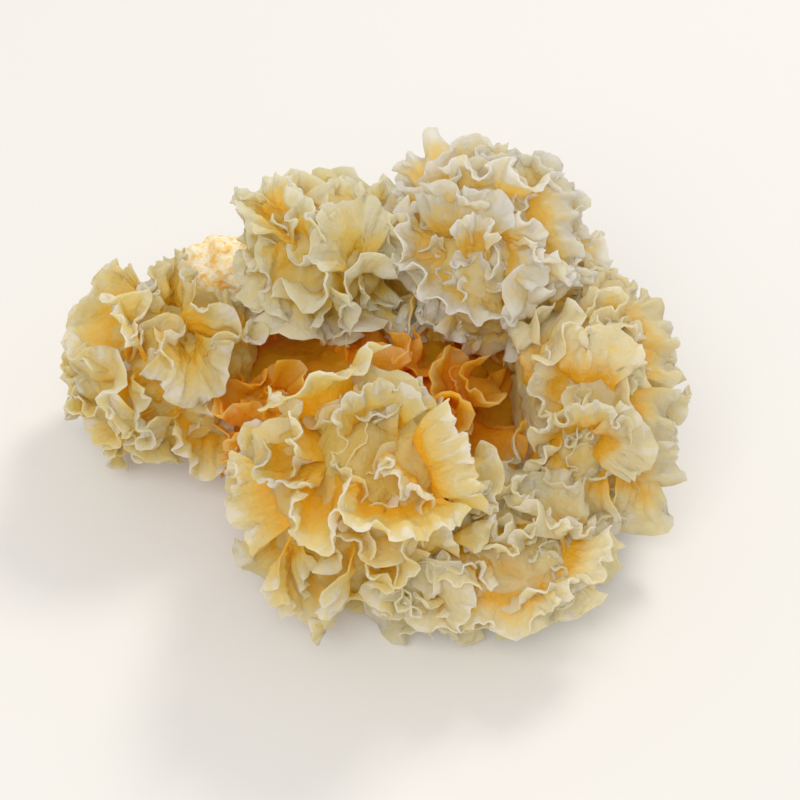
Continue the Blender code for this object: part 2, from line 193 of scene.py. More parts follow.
MASSES = {
    "foot": Mass((372, 415), 12 * MM, (35 * MM, 29 * MM, 17 * MM)),
    "cut_stub": Mass((226, 270), 24 * MM, (9 * MM, 8 * MM, 8 * MM)),
    "left_lobe": Mass((168, 366), 21 * MM, (23 * MM, 24 * MM, 21 * MM)),
    "upper_left_lobe": Mass((314, 252), 40 * MM, (19 * MM, 19 * MM, 18 * MM)),
    "upper_right_lobe": Mass((494, 250), 42 * MM, (22 * MM, 24 * MM, 22 * MM)),
    "right_lobe": Mass((588, 396), 25 * MM, (20 * MM, 29 * MM, 25 * MM)),
    "front_lobe": Mass((361, 488), 26 * MM, (27 * MM, 25 * MM, 27 * MM)),
    "front_right_lobe": Mass((492, 556), 14 * MM, (24 * MM, 19 * MM, 15 * MM)),
    "back_lobe": Mass((384, 298), 18 * MM, (31 * MM, 17 * MM, 19 * MM)),
}


@dataclass(frozen=True)
class Opening:
    """A round place on the picture where lobes stand apart and the foot's folds show.

    A bare one is kept free of the foot's folds too.
    """

    seen: Point2
    radius: float
    bare: bool = False


OPENINGS = {
    "stub": Opening((226, 270), 33, bare=True),
    "left_ground": Opening((180, 524), 50, bare=True),
    "middle_hollow": Opening((490, 402), 46),
    "low_hollow": Opening((504, 452), 20),
    "upper_gap": Opening((428, 366), 22),
    "left_hollow": Opening((246, 398), 28),
    "upper_left_hollow": Opening((292, 362), 24),
    "hollow_side": Opening((475, 425), 26),
}


@dataclass(frozen=True)
class Plan:
    """A frond laid out on the picture.

    Its margin is a row of (right, down, lift in mm). The middle of its root lies aside of the
    margin's middle on the picture, and deeper, by sink in mm.
    """

    margin: tuple[Point3, ...]
    root_shift: Point2
    sink: float
    crinkle: Crinkle


@dataclass
class Sheet:
    """A frond before it grows: its margin and root lines and how it will ruffle."""

    margin: Array
    root: Array
    crinkle: Crinkle
    hold: float
    vigour: float = 1.0
    rise: float = 4.0


def unit(vectors: Array) -> Array:
    """Bring vectors to length 1."""
    return vectors / (np.linalg.norm(vectors, axis=-1, keepdims=True) + TINY)


def normals(sheets: Array) -> Array:
    """Give the unit normals of a stack of sheets."""
    return unit(np.cross(np.gradient(sheets, axis=2), np.gradient(sheets, axis=1)))


def levels(rows: int) -> Array:
    """Give each row's level, 0 at the root to 1 at the margin, as a column."""
    return np.linspace(0.0, 1.0, rows)[:, None]


def smooth_line(points: Sequence[Sequence[float]], count: int) -> Array:
    """Run a smooth curve through points.

    Args:
        points: the points that the curve passes.
        count: how many evenly spaced points to return.

    Returns:
        The points on the curve.
    """
    knots = np.asarray(points, dtype=float)
    ends = np.vstack((2 * knots[0] - knots[1], knots, 2 * knots[-1] - knots[-2]))
    dense = []
    for index in range(1, len(ends) - 2):
        a, b, c, d = ends[index - 1:index + 3]
        for t in np.linspace(0.0, 1.0, CURVE_STEPS, endpoint=False):
            linear = 2 * b + (c - a) * t
            curved = (2 * a - 5 * b + 4 * c - d) * t ** 2 + (3 * b - a - 3 * c + d) * t ** 3
            dense.append(0.5 * (linear + curved))
    line = np.array(dense + [ends[-2]])
    steps = np.linalg.norm(np.diff(line, axis=0), axis=1)
    along = np.concatenate(((0.0,), np.cumsum(steps)))
    wanted = np.linspace(0.0, along[-1], count)
    return np.stack([np.interp(wanted, along, line[:, axis]) for axis in range(3)], axis=1)


def refining(count: int, factor: int) -> Array:
    """Make the weights that put points on a smooth curve between the points of a line.

    Args:
        count: points of the line.
        factor: steps from one point to the next.

    Returns:
        Weights as new points by old points.
    """
    own = np.eye(count)
    ends = np.vstack((2 * own[0] - own[1], own, 2 * own[-1] - own[-2]))
    weights = np.zeros(((count - 1) * factor + 1, count))
    for index in range(len(weights)):
        spot = min(index // factor, count - 2)
        t = index / factor - spot
        four = (-t + 2 * t ** 2 - t ** 3, 2 - 5 * t ** 2 + 3 * t ** 3,
                t + 4 * t ** 2 - 3 * t ** 3, t ** 3 - t ** 2)
        weights[index] = 0.5 * np.array(four) @ ends[spot:spot + 4]
    return weights


def wavy(count: int, waves: int, rng: Random) -> Array:
    """Make a smooth random line.

    Args:
        count: number of samples.
        waves: about how many waves fit on the line.
        rng: source of chance.

    Returns:
        Values between about -1 and 1.
    """
    knots = 2 * waves + 3
    values = rng.uniform(-1.0, 1.0, knots)
    spots = np.linspace(0.0, knots - 1.0, count)
    low = np.clip(spots.astype(int), 0, knots - 2)
    part = spots - low
    ease = part * part * (3 - 2 * part)
    return values[low] * (1 - ease) + values[low + 1] * ease


def pull(first: Array, second: Array, rest: Array, stiff: Any) -> None:
    """Move pairs of points towards their resting distance, in place.

    Args:
        first: first points of the pairs.
        second: second points of the pairs.
        rest: resting distances.
        stiff: share of the error to correct, a number or an array.
    """
    gap = second - first
    length = np.sqrt(np.einsum("...i,...i->...", gap, gap)) + NEAREST
    move = (0.5 * stiff * (length - rest) / length)[..., None] * gap
    first += move
    second -= move


@dataclass
class Fan:
    """Turns a sheet's two lines into a starting grid of points, rows from root to margin."""

    bulge: float = 1.6 * MM
    curl: float = 6.0 * MM
    uneven: float = 0.12
    uneven_waves: int = 3
    ripple: float = 1.3 * MM
    ripple_waves: tuple[int, int] = (2, 5)
    growth_least: float = 0.85
    growth_swing: float = 0.65

    def grid(self, sheet: Sheet, rng: Random) -> Array:
        """Make the starting grid.

        Args:
            sheet: the frond's lines.
            rng: source of chance.

        Returns:
            Points as rows by columns by 3.
        """
        margin, root = sheet.margin, sheet.root
        outward = margin - root
        normal = unit(np.cross(np.gradient(margin, axis=0), outward))
        level = levels(ROWS)
        reach = level * (1.0 + self.uneven * wavy(COLUMNS, self.uneven_waves, rng)[None]
                         * level ** 2)
        belly = self.bulge * 4 * level * (1 - level)
        curl = rng.uniform(-1.0, 1.0) * self.curl * level ** 3
        broad, fine = (wavy(COLUMNS, waves, rng)[None] for waves in self.ripple_waves)
        ripple = broad * level ** 2 + 0.5 * fine * level ** 3
        push = belly + curl + self.ripple * ripple
        return root[None] + outward[None] * reach[..., None] + normal[None] * push[..., None]

    def growth(self, sheet: Sheet, rng: Random) -> Array:
        """Make the factors by which a sheet's rows outgrow their length in broad waves.

        Args:
            sheet: the frond.
            rng: source of chance.

        Returns:
            Factors as rows by column gaps.
        """
        along = self.growth_least + self.growth_swing * wavy(COLUMNS - 1, 2, rng)[None]
        share = sheet.crinkle.value.broad * sheet.vigour
        return 1.0 + share * levels(ROWS) ** sheet.rise * along


@dataclass
class Refiner:
    """Makes a relaxed stack of sheets finer and lets its margins grow fine frills."""

    across: int = 3
    outward: int = 2
    wave: float = 0.30 * MM
    waves: int = 14
    frill_least: float = 0.9
    frill_swing: float = 0.8
    frill_waves: int = 4
    ragged: float = 0.45
    ragged_most: float = 0.9 * MM
    ragged_waves: tuple[int, int] = (9, 22)
    ragged_fine: float = 0.6
    crumples: tuple[Point2, ...] = ((5.5 * MM, 1.9 * MM), (2.4 * MM, 0.8 * MM))
    crumple_most: float = 0.6
    crumple_rise: float = 3.0

    def refine(self, sheets: Array) -> Array:
        """Put more rows and columns into every sheet."""
        rows = refining(sheets.shape[1], self.outward)
        columns = refining(sheets.shape[2], self.across)
        return np.einsum("ar,frci,bc->fabi", rows, sheets, columns, optimize=True)

    def growth(self, sheets: Array, fine: Array, rng: Random) -> Array:
        """Make the factors by which the finer rows outgrow their length.

        Args:
            sheets: the stack.
            fine: share of growth of each sheet.
            rng: source of chance.

        Returns:
            Factors as sheets by rows by column gaps.
        """
        lines = [self.frill_least + self.frill_swing * wavy(sheets.shape[2] - 1,
                                                            self.frill_waves, rng)
                 for _ in sheets]
        level = levels(sheets.shape[1])
        return 1.0 + fine[:, None, None] * np.array(lines)[:, None] * level ** 4

    def ripple(self, sheets: Array, rng: Random) -> Array:
        """Disturb the margins a little, so that they can buckle.

        Args:
            sheets: the stack.
            rng: source of chance.

        Returns:
            The disturbed stack.
        """
        lines = [wavy(sheets.shape[2], self.waves, rng) for _ in sheets]
        push = self.wave * np.array(lines)[:, None] * levels(sheets.shape[1]) ** 3
        return sheets + normals(sheets) * push[..., None]

    def weather(self, sheets: Array, rng: Random) -> Array:
        """Crumple the dry sheets and make their margins ragged.

        Args:
            sheets: the stack.
            rng: source of chance.

        Returns:
            The weathered stack.
        """
        outward = sheets[:, -1] - sheets[:, -2]
        length = np.linalg.norm(outward, axis=2, keepdims=True) + TINY
        outward *= np.minimum(1.0, self.ragged_most / length)
        broad, fine = self.ragged_waves
        count = sheets.shape[2]
        lines = [wavy(count, broad, rng) + self.ragged_fine * wavy(count, fine, rng) for _ in sheets]
        sheets = sheets.copy()
        sheets[:, -1] += self.ragged * np.array(lines)[..., None] * outward
        level = levels(sheets.shape[1])
        total = np.zeros(sheets.shape[:3])
        for size, height in self.crumples:
            places = (sheets.reshape(-1, 3) / size).tolist()
            near = [noise.voronoi(place)[0] for place in places]
            push = np.array([two[1] - two[0] for two in near]).reshape(sheets.shape[:3])
            push = np.minimum(push, self.crumple_most) - self.crumple_most / 2
            total += push * height * np.minimum(1.0, level * self.crumple_rise)
        return sheets + normals(sheets) * total[..., None]


@dataclass
class Relaxer:
    """Lets grown sheets buckle into ruffles without passing through each other."""

    rounds: int
    contact: float
    contact_every: int
    free_row: int
    near: int
    floor: float = 0.4 * MM
    length_give: float = 0.9
    shear_give: float = 0.25
    root_hold: float = 0.12
    push_share: float = 0.25
    push_most: float = 0.4

    def relax(self, grid: Array, growth: Array, stiff: Array,
              guide: Array) -> Array:
        """Relax a stack of sheets.

        Args:
            grid: sheets by rows by columns by 3.
            growth: factors on the lengths along the rows.
            stiff: bending stiffness of each sheet.
            guide: how strongly each sheet is held to its place.

        Returns:
            The relaxed stack.
        """
        start = grid.astype(np.float32)
        now = start.copy()
        along = np.linalg.norm(np.diff(start, axis=2), axis=3) * growth.astype(np.float32)
        up = np.linalg.norm(np.diff(start, axis=1), axis=3)
        middle = 0.5 * (along[:, :-1] + along[:, 1:])
        across = np.sqrt(middle ** 2 + (0.5 * (up[:, :, :-1] + up[:, :, 1:])) ** 2)
        bend = stiff.astype(np.float32)[:, None, None]
        level = np.linspace(0.0, 1.0, start.shape[1], dtype=np.float32)[None, :, None, None]
        base = guide.astype(np.float32)[:, None, None, None]
        hold = np.minimum(base + self.root_hold * (1.0 - level) ** 3, 1.0)
        for turn in range(self.rounds):
            self.stretch(now, along, up, across)
            self.unbend(now, along, up, bend)
            now += hold * (start - now)
            if turn % self.contact_every == self.contact_every - 1:
                self.part(now)
            now[..., 2] = np.maximum(now[..., 2], self.floor)
            now[:, :2] = start[:, :2]
        return now

    def stretch(self, now: Array, along: Array, up: Array,
                across: Array) -> None:
        """Correct the lengths between neighbours, in place.

        Args:
            now: the stack of sheets.
            along: resting lengths along the rows.
            up: resting lengths from row to row.
            across: resting lengths of the cells' diagonals.
        """
        give, shear = self.length_give, self.shear_give
        for first in (0, 1):
            pull(now[:, :, first:-1:2], now[:, :, first + 1::2], along[:, :, first::2], give)
            pull(now[:, first:-1:2], now[:, first + 1::2], up[:, first::2], give)
            rest = across[:, first::2]
            pull(now[:, first:-1:2, :-1], now[:, first + 1::2, 1:], rest, shear)
            pull(now[:, first:-1:2, 1:], now[:, first + 1::2, :-1], rest, shear)

    @staticmethod
    def unbend(now: Array, along: Array, up: Array, bend: Array) -> None:
        """Straighten the sheets a little over two cells, in place.

        Args:
            now: the stack of sheets.
            along: resting lengths along the rows.
            up: resting lengths from row to row.
            bend: bending stiffness of each sheet.
        """
        two_along = along[:, :, :-1] + along[:, :, 1:]
        two_up = up[:, :-1] + up[:, 1:]
        for first in range(4):
            pull(now[:, :, first:-2:4], now[:, :, first + 2::4], two_along[:, :, first::4], bend)
            pull(now[:, first:-2:4], now[:, first + 2::4], two_up[:, first::4], bend)

    def part(self, now: Array) -> None:
        """Push points of different folds apart, in place.

        Points are sorted by the cell that they lie in, so that only those of the same and of
        neighbouring cells are compared.

        Args:
            now: the stack of sheets.
        """
        sheets, rows, columns = now.shape[:3]
        free = now[:, self.free_row:]
        places = free.reshape(-1, 3).astype(np.float64)
        count = len(places)
        per_sheet = (rows - self.free_row) * columns
        owner = np.arange(count) // per_sheet
        row = (np.arange(count) % per_sheet) // columns
        column = np.arange(count) % columns
        cell = np.floor((places - places.min(axis=0)) / self.contact).astype(np.int64) + 1
        span = cell.max(axis=0) + 2
        key = (cell[:, 0] * span[1] + cell[:, 1]) * span[2] + cell[:, 2]
        order = np.argsort(key, kind="stable")
        ordered = key[order]
        push = np.zeros((count, 3))
        steps = [(0, 0, 0), (1, 0, 0), (0, 1, 0), (0, 0, 1), (1, 1, 0), (1, -1, 0), (1, 0, 1),
                 (1, 0, -1), (0, 1, 1), (0, 1, -1), (1, 1, 1), (1, 1, -1), (1, -1, 1), (1, -1, -1)]
        for step in steps:
            shift = (step[0] * span[1] + step[1]) * span[2] + step[2]
            low = np.searchsorted(ordered, ordered + shift, side="left")
            high = np.searchsorted(ordered, ordered + shift, side="right")
            if shift == 0:
                low = np.arange(count) + 1
            number = np.maximum(high - low, 0)
            total = int(number.sum())
            if total == 0:
                continue
            first = np.repeat(np.arange(count), number)
            begin = np.repeat(np.cumsum(number) - number, number)
            second = np.arange(total) - begin + np.repeat(low, number)
            a, b = order[first], order[second]
            same = owner[a] == owner[b]
            near = same & (abs(row[a] - row[b]) + abs(column[a] - column[b]) < self.near)
            gap = places[b] - places[a]
            far = np.einsum("ij,ij->i", gap, gap)
            keep = ~near & (far < self.contact ** 2)
            a, b, gap = a[keep], b[keep], gap[keep]
            length = np.sqrt(far[keep]) + NEAREST
            move = (self.push_share * (self.contact - length) / length)[:, None] * gap
            for axis in range(3):
                push[:, axis] -= np.bincount(a, move[:, axis], count)
                push[:, axis] += np.bincount(b, move[:, axis], count)
        limit = self.push_most * self.contact
        push *= np.minimum(1.0, limit / (np.linalg.norm(push, axis=1, keepdims=True) + TINY))
        now[:, self.free_row:] = (places + push).reshape(free.shape)


@dataclass(frozen=True)
class Habit:
    """How the fronds between the laid out ones grow on a mass.

    Their spacing, their half lengths, and how much farther out they end on its top.
    """

    crinkle: Crinkle
    spacing: float
    half: Point2
    rise: float = 0.0


@dataclass
class Layout:
    """Places the fronds of a mass: the laid out ones, and more between them."""

    core_share: float = 0.68
    core_depth: float = 0.95
    piece_length: float = 22.0 * MM
    length_points: int = 41
    plan_root_share: float = 0.72
    plan_sink: float = 0.7
    plan_hold: float = 0.20
    plan_room: float = 1.2
    fill_tries: int = 600
    fill_shells: tuple[Point2, ...] = ((0.0 * MM, 1.0), (2.5 * MM, 0.85))
    fill_low: float = 3.0 * MM
    fill_turn: float = 1.4
    fill_sizes: Point3 = (0.8, 1.0, 1.3)
    fill_sway: float = 4.5 * MM
    fill_drop: Point2 = (1.2 * MM, 5.5 * MM)
    fill_lean: Point2 = (2.0 * MM, 11.0 * MM)
    fill_sink: float = 9.0 * MM
    fill_root_share: float = 0.58
    fill_vigour: Point2 = (0.6, 1.5)
    fill_rise: Point2 = (1.8, 4.0)
    fill_hold: float = 0.015
    overlap: float = 0.97
    reach: Point3 = (0.92, 1.15, 0.01)  # least, most and step
    blend: float = 6.0
    blend_edge: float = 1.06
    hills: float = 1.7
    unevenness: float = 0.24

    def into_core(self, points: Array, mass: Mass) -> Array:
        """Move points outside a mass's core just inside it.

        Args:
            points: the points.
            mass: the mass that they root in.

        Returns:
            The moved points.
        """
        local = mass.local(points) / self.core_share
        reach = np.linalg.norm(local, axis=1, keepdims=True)
        inner = local * np.minimum(1.0, self.core_depth / reach)
        return mass.centre + np.array(mass.radii) * self.core_share * inner

    def planned(self, mass: Mass, plan: Plan) -> list[Sheet]:
        """Lay out one planned frond, in pieces if it is long.

        Args:
            mass: the mass that it grows on.
            plan: its margin and root on the picture.

        Returns:
            The lines of its sheets.
        """
        line = [mass.surface(spot[:2], spot[2] * MM) for spot in plan.margin]
        length = np.linalg.norm(np.diff(smooth_line(line, self.length_points), axis=0), axis=1).sum()
        pieces = max(1, round(length / self.piece_length))
        total = pieces * (COLUMNS - 1) + 1
        margin = smooth_line(line, total)
        seen = np.mean([spot[:2] for spot in plan.margin], axis=0) + np.array(plan.root_shift)
        lift = float(np.mean([spot[2] for spot in plan.margin])) - plan.sink * self.plan_sink
        anchor = mass.surface(seen, lift * MM)
        root = anchor + (margin - margin.mean(axis=0)) * self.plan_root_share
        root = self.into_core(root, mass)
        parts = [slice(start, start + COLUMNS) for start in range(0, total - 1, COLUMNS - 1)]
        return [Sheet(margin[part], root[part], plan.crinkle, self.plan_hold) for part in parts]

    def between(self, name: str, habit: Habit, sheets: list[Sheet],
                rng: Random) -> list[Sheet]:
        """Fill the outside of a mass between its planned fronds.

        Args:
            name: the mass.
            habit: how such fronds grow there.
            sheets: the fronds that it has.
            rng: source of chance.

        Returns:
            The further fronds.
        """
        mass = MASSES[name]
        others = [other for key, other in MASSES.items() if key != name]
        taken = [sheet.margin for sheet in sheets]
        found = []
        directions, reaches = self.outside(mass, others, habit.rise)
        for depth, wider in self.fill_shells:
            places = mass.centre + np.array(mass.radii) * directions * reaches[:, None]
            places = places - directions * depth
            free = (places[:, 2] > self.fill_low) & self.clear(name, places)
            for other in others:
                free &= np.linalg.norm(other.local(places), axis=1) > self.overlap
            for index in np.flatnonzero(free):
                gaps = [np.linalg.norm(line - places[index], axis=1).min() for line in taken]
                if gaps and min(gaps) < habit.spacing * wider:
                    continue
                if sheets and min(gaps[:len(sheets)]) < habit.spacing * self.plan_room:
                    continue
                sheet = self.fill(mass, directions[index], float(reaches[index]), depth,
                                  habit, rng)
                if self.clear(name, sheet.margin).all():
                    taken.append(sheet.margin)
                    found.append(sheet)
        return found

    @staticmethod
    def clear(name: str, places: Array) -> Array:
        """Tell which places leave the openings between the lobes free.

        Args:
            name: the mass that they belong to.
            places: the places, one a row.

        Returns:
            True for each place that is allowed.
        """
        seen = VIEW.seen(places)
        free = np.ones(len(places), dtype=bool)
        for opening in OPENINGS.values():
            if name != "foot" or opening.bare:
                free &= np.linalg.norm(seen - np.array(opening.seen), axis=1) > opening.radius
        return free

    def outside(self, mass: Mass, others: Sequence[Mass],
                rise: float) -> tuple[Array, Array]:
        """Spread directions over a mass, with how far out its fronds end in each.

        Args:
            mass: the mass.
            others: its neighbours, near which the fronds end farther out.
            rise: how much farther out they end on its top.

        Returns:
            Directions, one a row, and distances in units of the radii.
        """
        index = np.arange(self.fill_tries)
        height = 1.0 - 2.0 * (index + 0.5) / self.fill_tries
        flat = np.sqrt(1.0 - height * height)
        turn = index * math.pi * (3.0 - math.sqrt(5.0))
        directions = np.stack((flat * np.cos(turn), flat * np.sin(turn), height), axis=1)
        least, most, step = self.reach
        reaches = np.full(len(directions), least)
        for reach in np.arange(least, most, step):
            places = mass.centre + np.array(mass.radii) * directions * reach
            total = np.full(len(directions), math.exp(-self.blend * (reach - least)))
            for other in others:
                away = np.linalg.norm(other.local(places), axis=1) - least
                total += np.exp(-self.blend * away)
            reaches[total > self.blend_edge] = reach
        for row, direction in enumerate(directions):
            place = Vector(direction * self.hills) + Vector(mass.centre / MM)
            reaches[row] *= 1.0 + self.unevenness * noise.noise(place)
        return directions, reaches * (1.0 + rise * np.maximum(0.0, directions[:, 2]))

    def fill(self, mass: Mass, direction: Array, reach: float, depth: float,
             habit: Habit, rng: Random) -> Sheet:
        """Make a frond that stands out of a mass.

        Args:
            mass: the mass.
            direction: where on the mass it stands, from the middle.
            reach: how far out it ends there, in units of the radii.
            depth: how much lower it ends than its neighbours.
            habit: how such fronds grow there.
            rng: source of chance.

        Returns:
            The sheet's lines.
        """
        radii = np.array(mass.radii) * reach
        place = mass.centre + radii * direction
        turn = rng.uniform(-self.fill_turn, self.fill_turn)
        side = np.cross((0.0, 0.0, 1.0), direction)
        side /= np.linalg.norm(side)
        upright = np.cross(direction, side)
        course = math.cos(turn) * side + math.sin(turn) * upright
        cross = np.cross(direction, course)
        half = rng.uniform(*habit.half) * rng.choice(self.fill_sizes)
        sway = rng.uniform(-self.fill_sway, self.fill_sway)
        drop = depth + rng.uniform(*self.fill_drop)
        line = []
        for index, stop in enumerate((-1.0, -0.35, 0.35, 1.0)):
            point = place + course * half * stop + cross * sway * (-1) ** index
            local = (point - mass.centre) / radii
            line.append(mass.centre + radii * local / np.linalg.norm(local) - direction * drop)
        margin = smooth_line(line, COLUMNS)
        middle = margin.mean(axis=0)
        lean = rng.uniform(*self.fill_lean) * rng.choice((-1.0, 1.0))
        anchor = middle - direction * self.fill_sink - cross * lean
        root = self.into_core(anchor + (margin - middle) * self.fill_root_share, mass)
        vigour, rise = rng.uniform(*self.fill_vigour), rng.uniform(*self.fill_rise)
        return Sheet(margin, root, habit.crinkle, self.fill_hold, vigour, rise)


def srgb(code: str) -> tuple[float, float, float, float]:
    """Turn a hex colour into linear red, green, blue and alpha.

    Args:
        code: colour as #RRGGBB.

    Returns:
        Linear values.
    """
    values = [int(code[index:index + 2], 16) / 255 for index in (1, 3, 5)]
    linear = [v / 12.92 if v <= 0.04045 else ((v + 0.055) / 1.055) ** 2.4 for v in values]
    return (linear[0], linear[1], linear[2], 1.0)


def add(tree: bpy.types.NodeTree, kind: str, settings: Optional[dict[str, Any]] = None,
        links: Optional[dict[Any, Any]] = None) -> bpy.types.Node:
    """Add a shader node.

    Args:
        tree: the tree that it goes into.
        kind: Blender's name of the node type, without "ShaderNode".
        settings: values by attribute name, or by input number or name.
        links: outputs to connect, or nodes whose first output is meant, by input.

    Returns:
        The node.
    """
    node = tree.nodes.new("ShaderNode" + kind)
    for key, value in (settings or {}).items():
        if isinstance(key, str) and hasattr(node, key) and key not in node.inputs:
            setattr(node, key, value)
        else:
            node.inputs[key].default_value = value
    for key, output in (links or {}).items():
        socket = output.outputs[0] if isinstance(output, bpy.types.Node) else output
        tree.links.new(socket, node.inputs[key])
    return node


def empty_material(name: str) -> tuple[bpy.types.Material, bpy.types.NodeTree]:
    """Make a material without nodes.

    Args:
        name: name of the material.

    Returns:
        The material and its node tree.
    """
    material = bpy.data.materials.new(name)
    material.use_nodes = True
    material.node_tree.nodes.clear()
    return material, material.node_tree


def set_stops(ramp: bpy.types.Node, colours: Sequence[tuple[float, str]]) -> None:
    """Set a colour ramp's stops.

    Args:
        ramp: the ramp node.
        colours: position and hex colour of each stop.
    """
    elements = ramp.color_ramp.elements
    while len(elements) < len(colours):
        elements.new(0.5)
    for element, (position, code) in zip(elements, colours):
        element.position = position
        element.color = srgb(code)


@dataclass(frozen=True)
class FrondFinish:
    """Air-dried jelly fungus flesh: thin sheets that let light through.

    The eye sees whitish margins and folds, yellow faces, gold where a sheet goes down between
    its neighbours, and orange deep in the hollows. The gold and orange that come with depth are
    partly the flesh's own colour towards its base and partly painted shade and painted glow of
    light through the flesh. The sheen is that of dried gelatine.
    """

    name: str
    margin: str = "#F5EED8"
    pale: str = "#F0E5B0"
    face: str = "#EFDD94"
    pocket: str = "#F3D258"
    deep: str = "#F9C024"
    # Orange deep inside the head: the base's own colour, brightened as painted glow of light through the
    # flesh.
    sunken_orange_glow: str = "#FFB010"
    glow: float = 0.62
    roughness: float = 0.52
    index: float = 1.42  # of dried gelatine and starch-like flesh
    patch: float = 4.5 * MM  # paler and yellower patches, where the flesh dried thick or thin
    patch_spread: Point2 = (-0.18, 0.04)
    # Drying wrinkles lie under 1 mm apart; they are drawn coarser, so that they show.
    wrinkle: float = 2.2 * MM
    wrinkle_edge: float = 0.09
    wrinkle_pale: float = 0.05
    wrinkle_height: float = 0.3 * MM
    wrinkle_relief: float = 0.45
    fold_pale: float = 0.24
    # How far depth turns the colour towards the deep ones: partly the flesh's own colour, partly painted
    # shade.
    shade: float = 0.38
    sunken_glow_from: Point2 = (0.35, 0.95)
    tint: Point2 = (0.90, 1.04)

    def material(self) -> bpy.types.Material:
        """Build the material from the mesh's tone: level, depth, tint and fold.

        Returns:
            The material.
        """
        material, tree = empty_material(self.name)
        tone = add(tree, "Attribute", {"attribute_name": "tone"})
        parts = add(tree, "SeparateColor", links={0: tone.outputs["Color"]})
        level, depth, tint = parts.outputs
        place = add(tree, "TexCoord").outputs["Object"]
        patch = add(tree, "TexNoise", {"Scale": 1 / self.patch, "Detail": 1.0},
                    {"Vector": place})
        wrinkle = add(tree, "TexNoise", {"Scale": 1 / self.wrinkle, "Detail": 1.5},
                      {"Vector": place})
        centred = add(tree, "Math", {"operation": "SUBTRACT", 1: 0.5}, {0: wrinkle})
        away = add(tree, "Math", {"operation": "ABSOLUTE"}, {0: centred})
        crease = add(tree, "MapRange", {"interpolation_type": "SMOOTHSTEP", 1: 0.0,
                                        2: self.wrinkle_edge, 3: 1.0, 4: 0.0}, {0: away})
        spread = add(tree, "MapRange", {1: 0.3, 2: 0.7, 3: self.patch_spread[0],
                                        4: self.patch_spread[1]}, {0: patch})
        creased = add(tree, "Math", {"operation": "MULTIPLY_ADD", 1: self.wrinkle_pale},
                      {0: crease, 2: spread})
        folded = add(tree, "Math", {"operation": "MULTIPLY_ADD", 1: self.fold_pale},
                     {0: tone.outputs["Alpha"], 2: creased})
        # Deeper places shift towards the deep colours: partly the flesh's own colour towards the base,
        # partly painted shade in the recesses.
        shaded = add(tree, "Math", {"operation": "MULTIPLY_ADD", 1: -self.shade},
                     {0: depth, 2: level})
        total = add(tree, "Math", {"operation": "ADD"}, {0: folded, 1: shaded})
        ramp = add(tree, "ValToRGB", links={0: total})
        set_stops(ramp, ((0.25, self.deep), (0.55, self.pocket), (0.84, self.face),
                         (0.95, self.pale), (1.0, self.margin)))
        # Deep inside the head the colour turns to the bright sunken orange: the base's own orange,
        # brightened as painted glow of light through the flesh.
        sunk = add(tree, "MapRange", {1: self.sunken_glow_from[0], 2: self.sunken_glow_from[1]}, {0: depth})
        mixed = add(tree, "Mix", {"data_type": "RGBA", 7: srgb(self.sunken_orange_glow)}, {0: sunk, 6: ramp})
        tinted = add(tree, "MapRange", {"clamp": False, 3: self.tint[0], 4: self.tint[1]},
                     {0: tint})
        colour = add(tree, "VectorMath", {"operation": "SCALE"},
                     {0: mixed.outputs[2], 3: tinted})
        bump = add(tree, "Bump", {"Strength": self.wrinkle_relief,
                                  "Distance": self.wrinkle_height}, {"Height": crease})
        surface = add(tree, "BsdfPrincipled", {"Roughness": self.roughness, "IOR": self.index},
                      {"Base Color": colour, "Normal": bump})
        through = add(tree, "BsdfTranslucent", links={0: colour})
        both = add(tree, "MixShader", {0: self.glow}, {1: surface, 2: through})
        add(tree, "OutputMaterial", links={0: both})
        return material


@dataclass(frozen=True)
class StubFinish:
    """Torn, porous jelly fungus flesh, where the growth held to its wood.

    The eye sees a rough, pale, light-catching lump that is mottled with orange pores.
    """

    name: str = "torn_porous_stub_flesh"
    pale: str = "#FFF0C6"
    middle: str = "#FFDD94"
    pore: str = "#FFB446"
    # Its pores and grain are a few tenths of a millimetre; they are drawn coarser, to show.
    mottle: float = 1.9 * MM
    grain: float = 0.7 * MM
    grain_height: float = 0.5 * MM
    roughness: float = 0.75
    index: float = 1.42
    glow: float = 0.2
    glow_colour: Point3 = (1.0, 0.5, 0.2)
    glow_depth: float = 2.0 * MM

    def material(self) -> bpy.types.Material:
        """Build the material.

        Returns:
            The material.
        """
        material, tree = empty_material(self.name)
        place = add(tree, "TexCoord").outputs["Object"]
        mottle = add(tree, "TexNoise", {"Scale": 1 / self.mottle, "Detail": 3.0},
                     {"Vector": place})
        ramp = add(tree, "ValToRGB", links={0: mottle})
        set_stops(ramp, ((0.36, self.pore), (0.48, self.middle), (0.58, self.pale)))
        grain = add(tree, "TexNoise", {"Scale": 1 / self.grain, "Detail": 2.0},
                    {"Vector": place})
        bump = add(tree, "Bump", {"Strength": 1.0, "Distance": self.grain_height},
                   {"Height": grain})
        surface = add(tree, "BsdfPrincipled",
                      {"Roughness": self.roughness, "IOR": self.index,
                       "Subsurface Weight": self.glow, "Subsurface Radius": self.glow_colour,
                       "Subsurface Scale": self.glow_depth},
                      {"Base Color": ramp, "Normal": bump})
        add(tree, "OutputMaterial", links={0: surface})
        return material


def set_tone(mesh: bpy.types.Mesh, values: Array) -> None:
    """Give a mesh's corners what the finish reads: level, depth, tint and fold, one a row."""
    tone = mesh.attributes.new("tone", "FLOAT_COLOR", "POINT")
    tone.data.foreach_set("color", values.ravel())


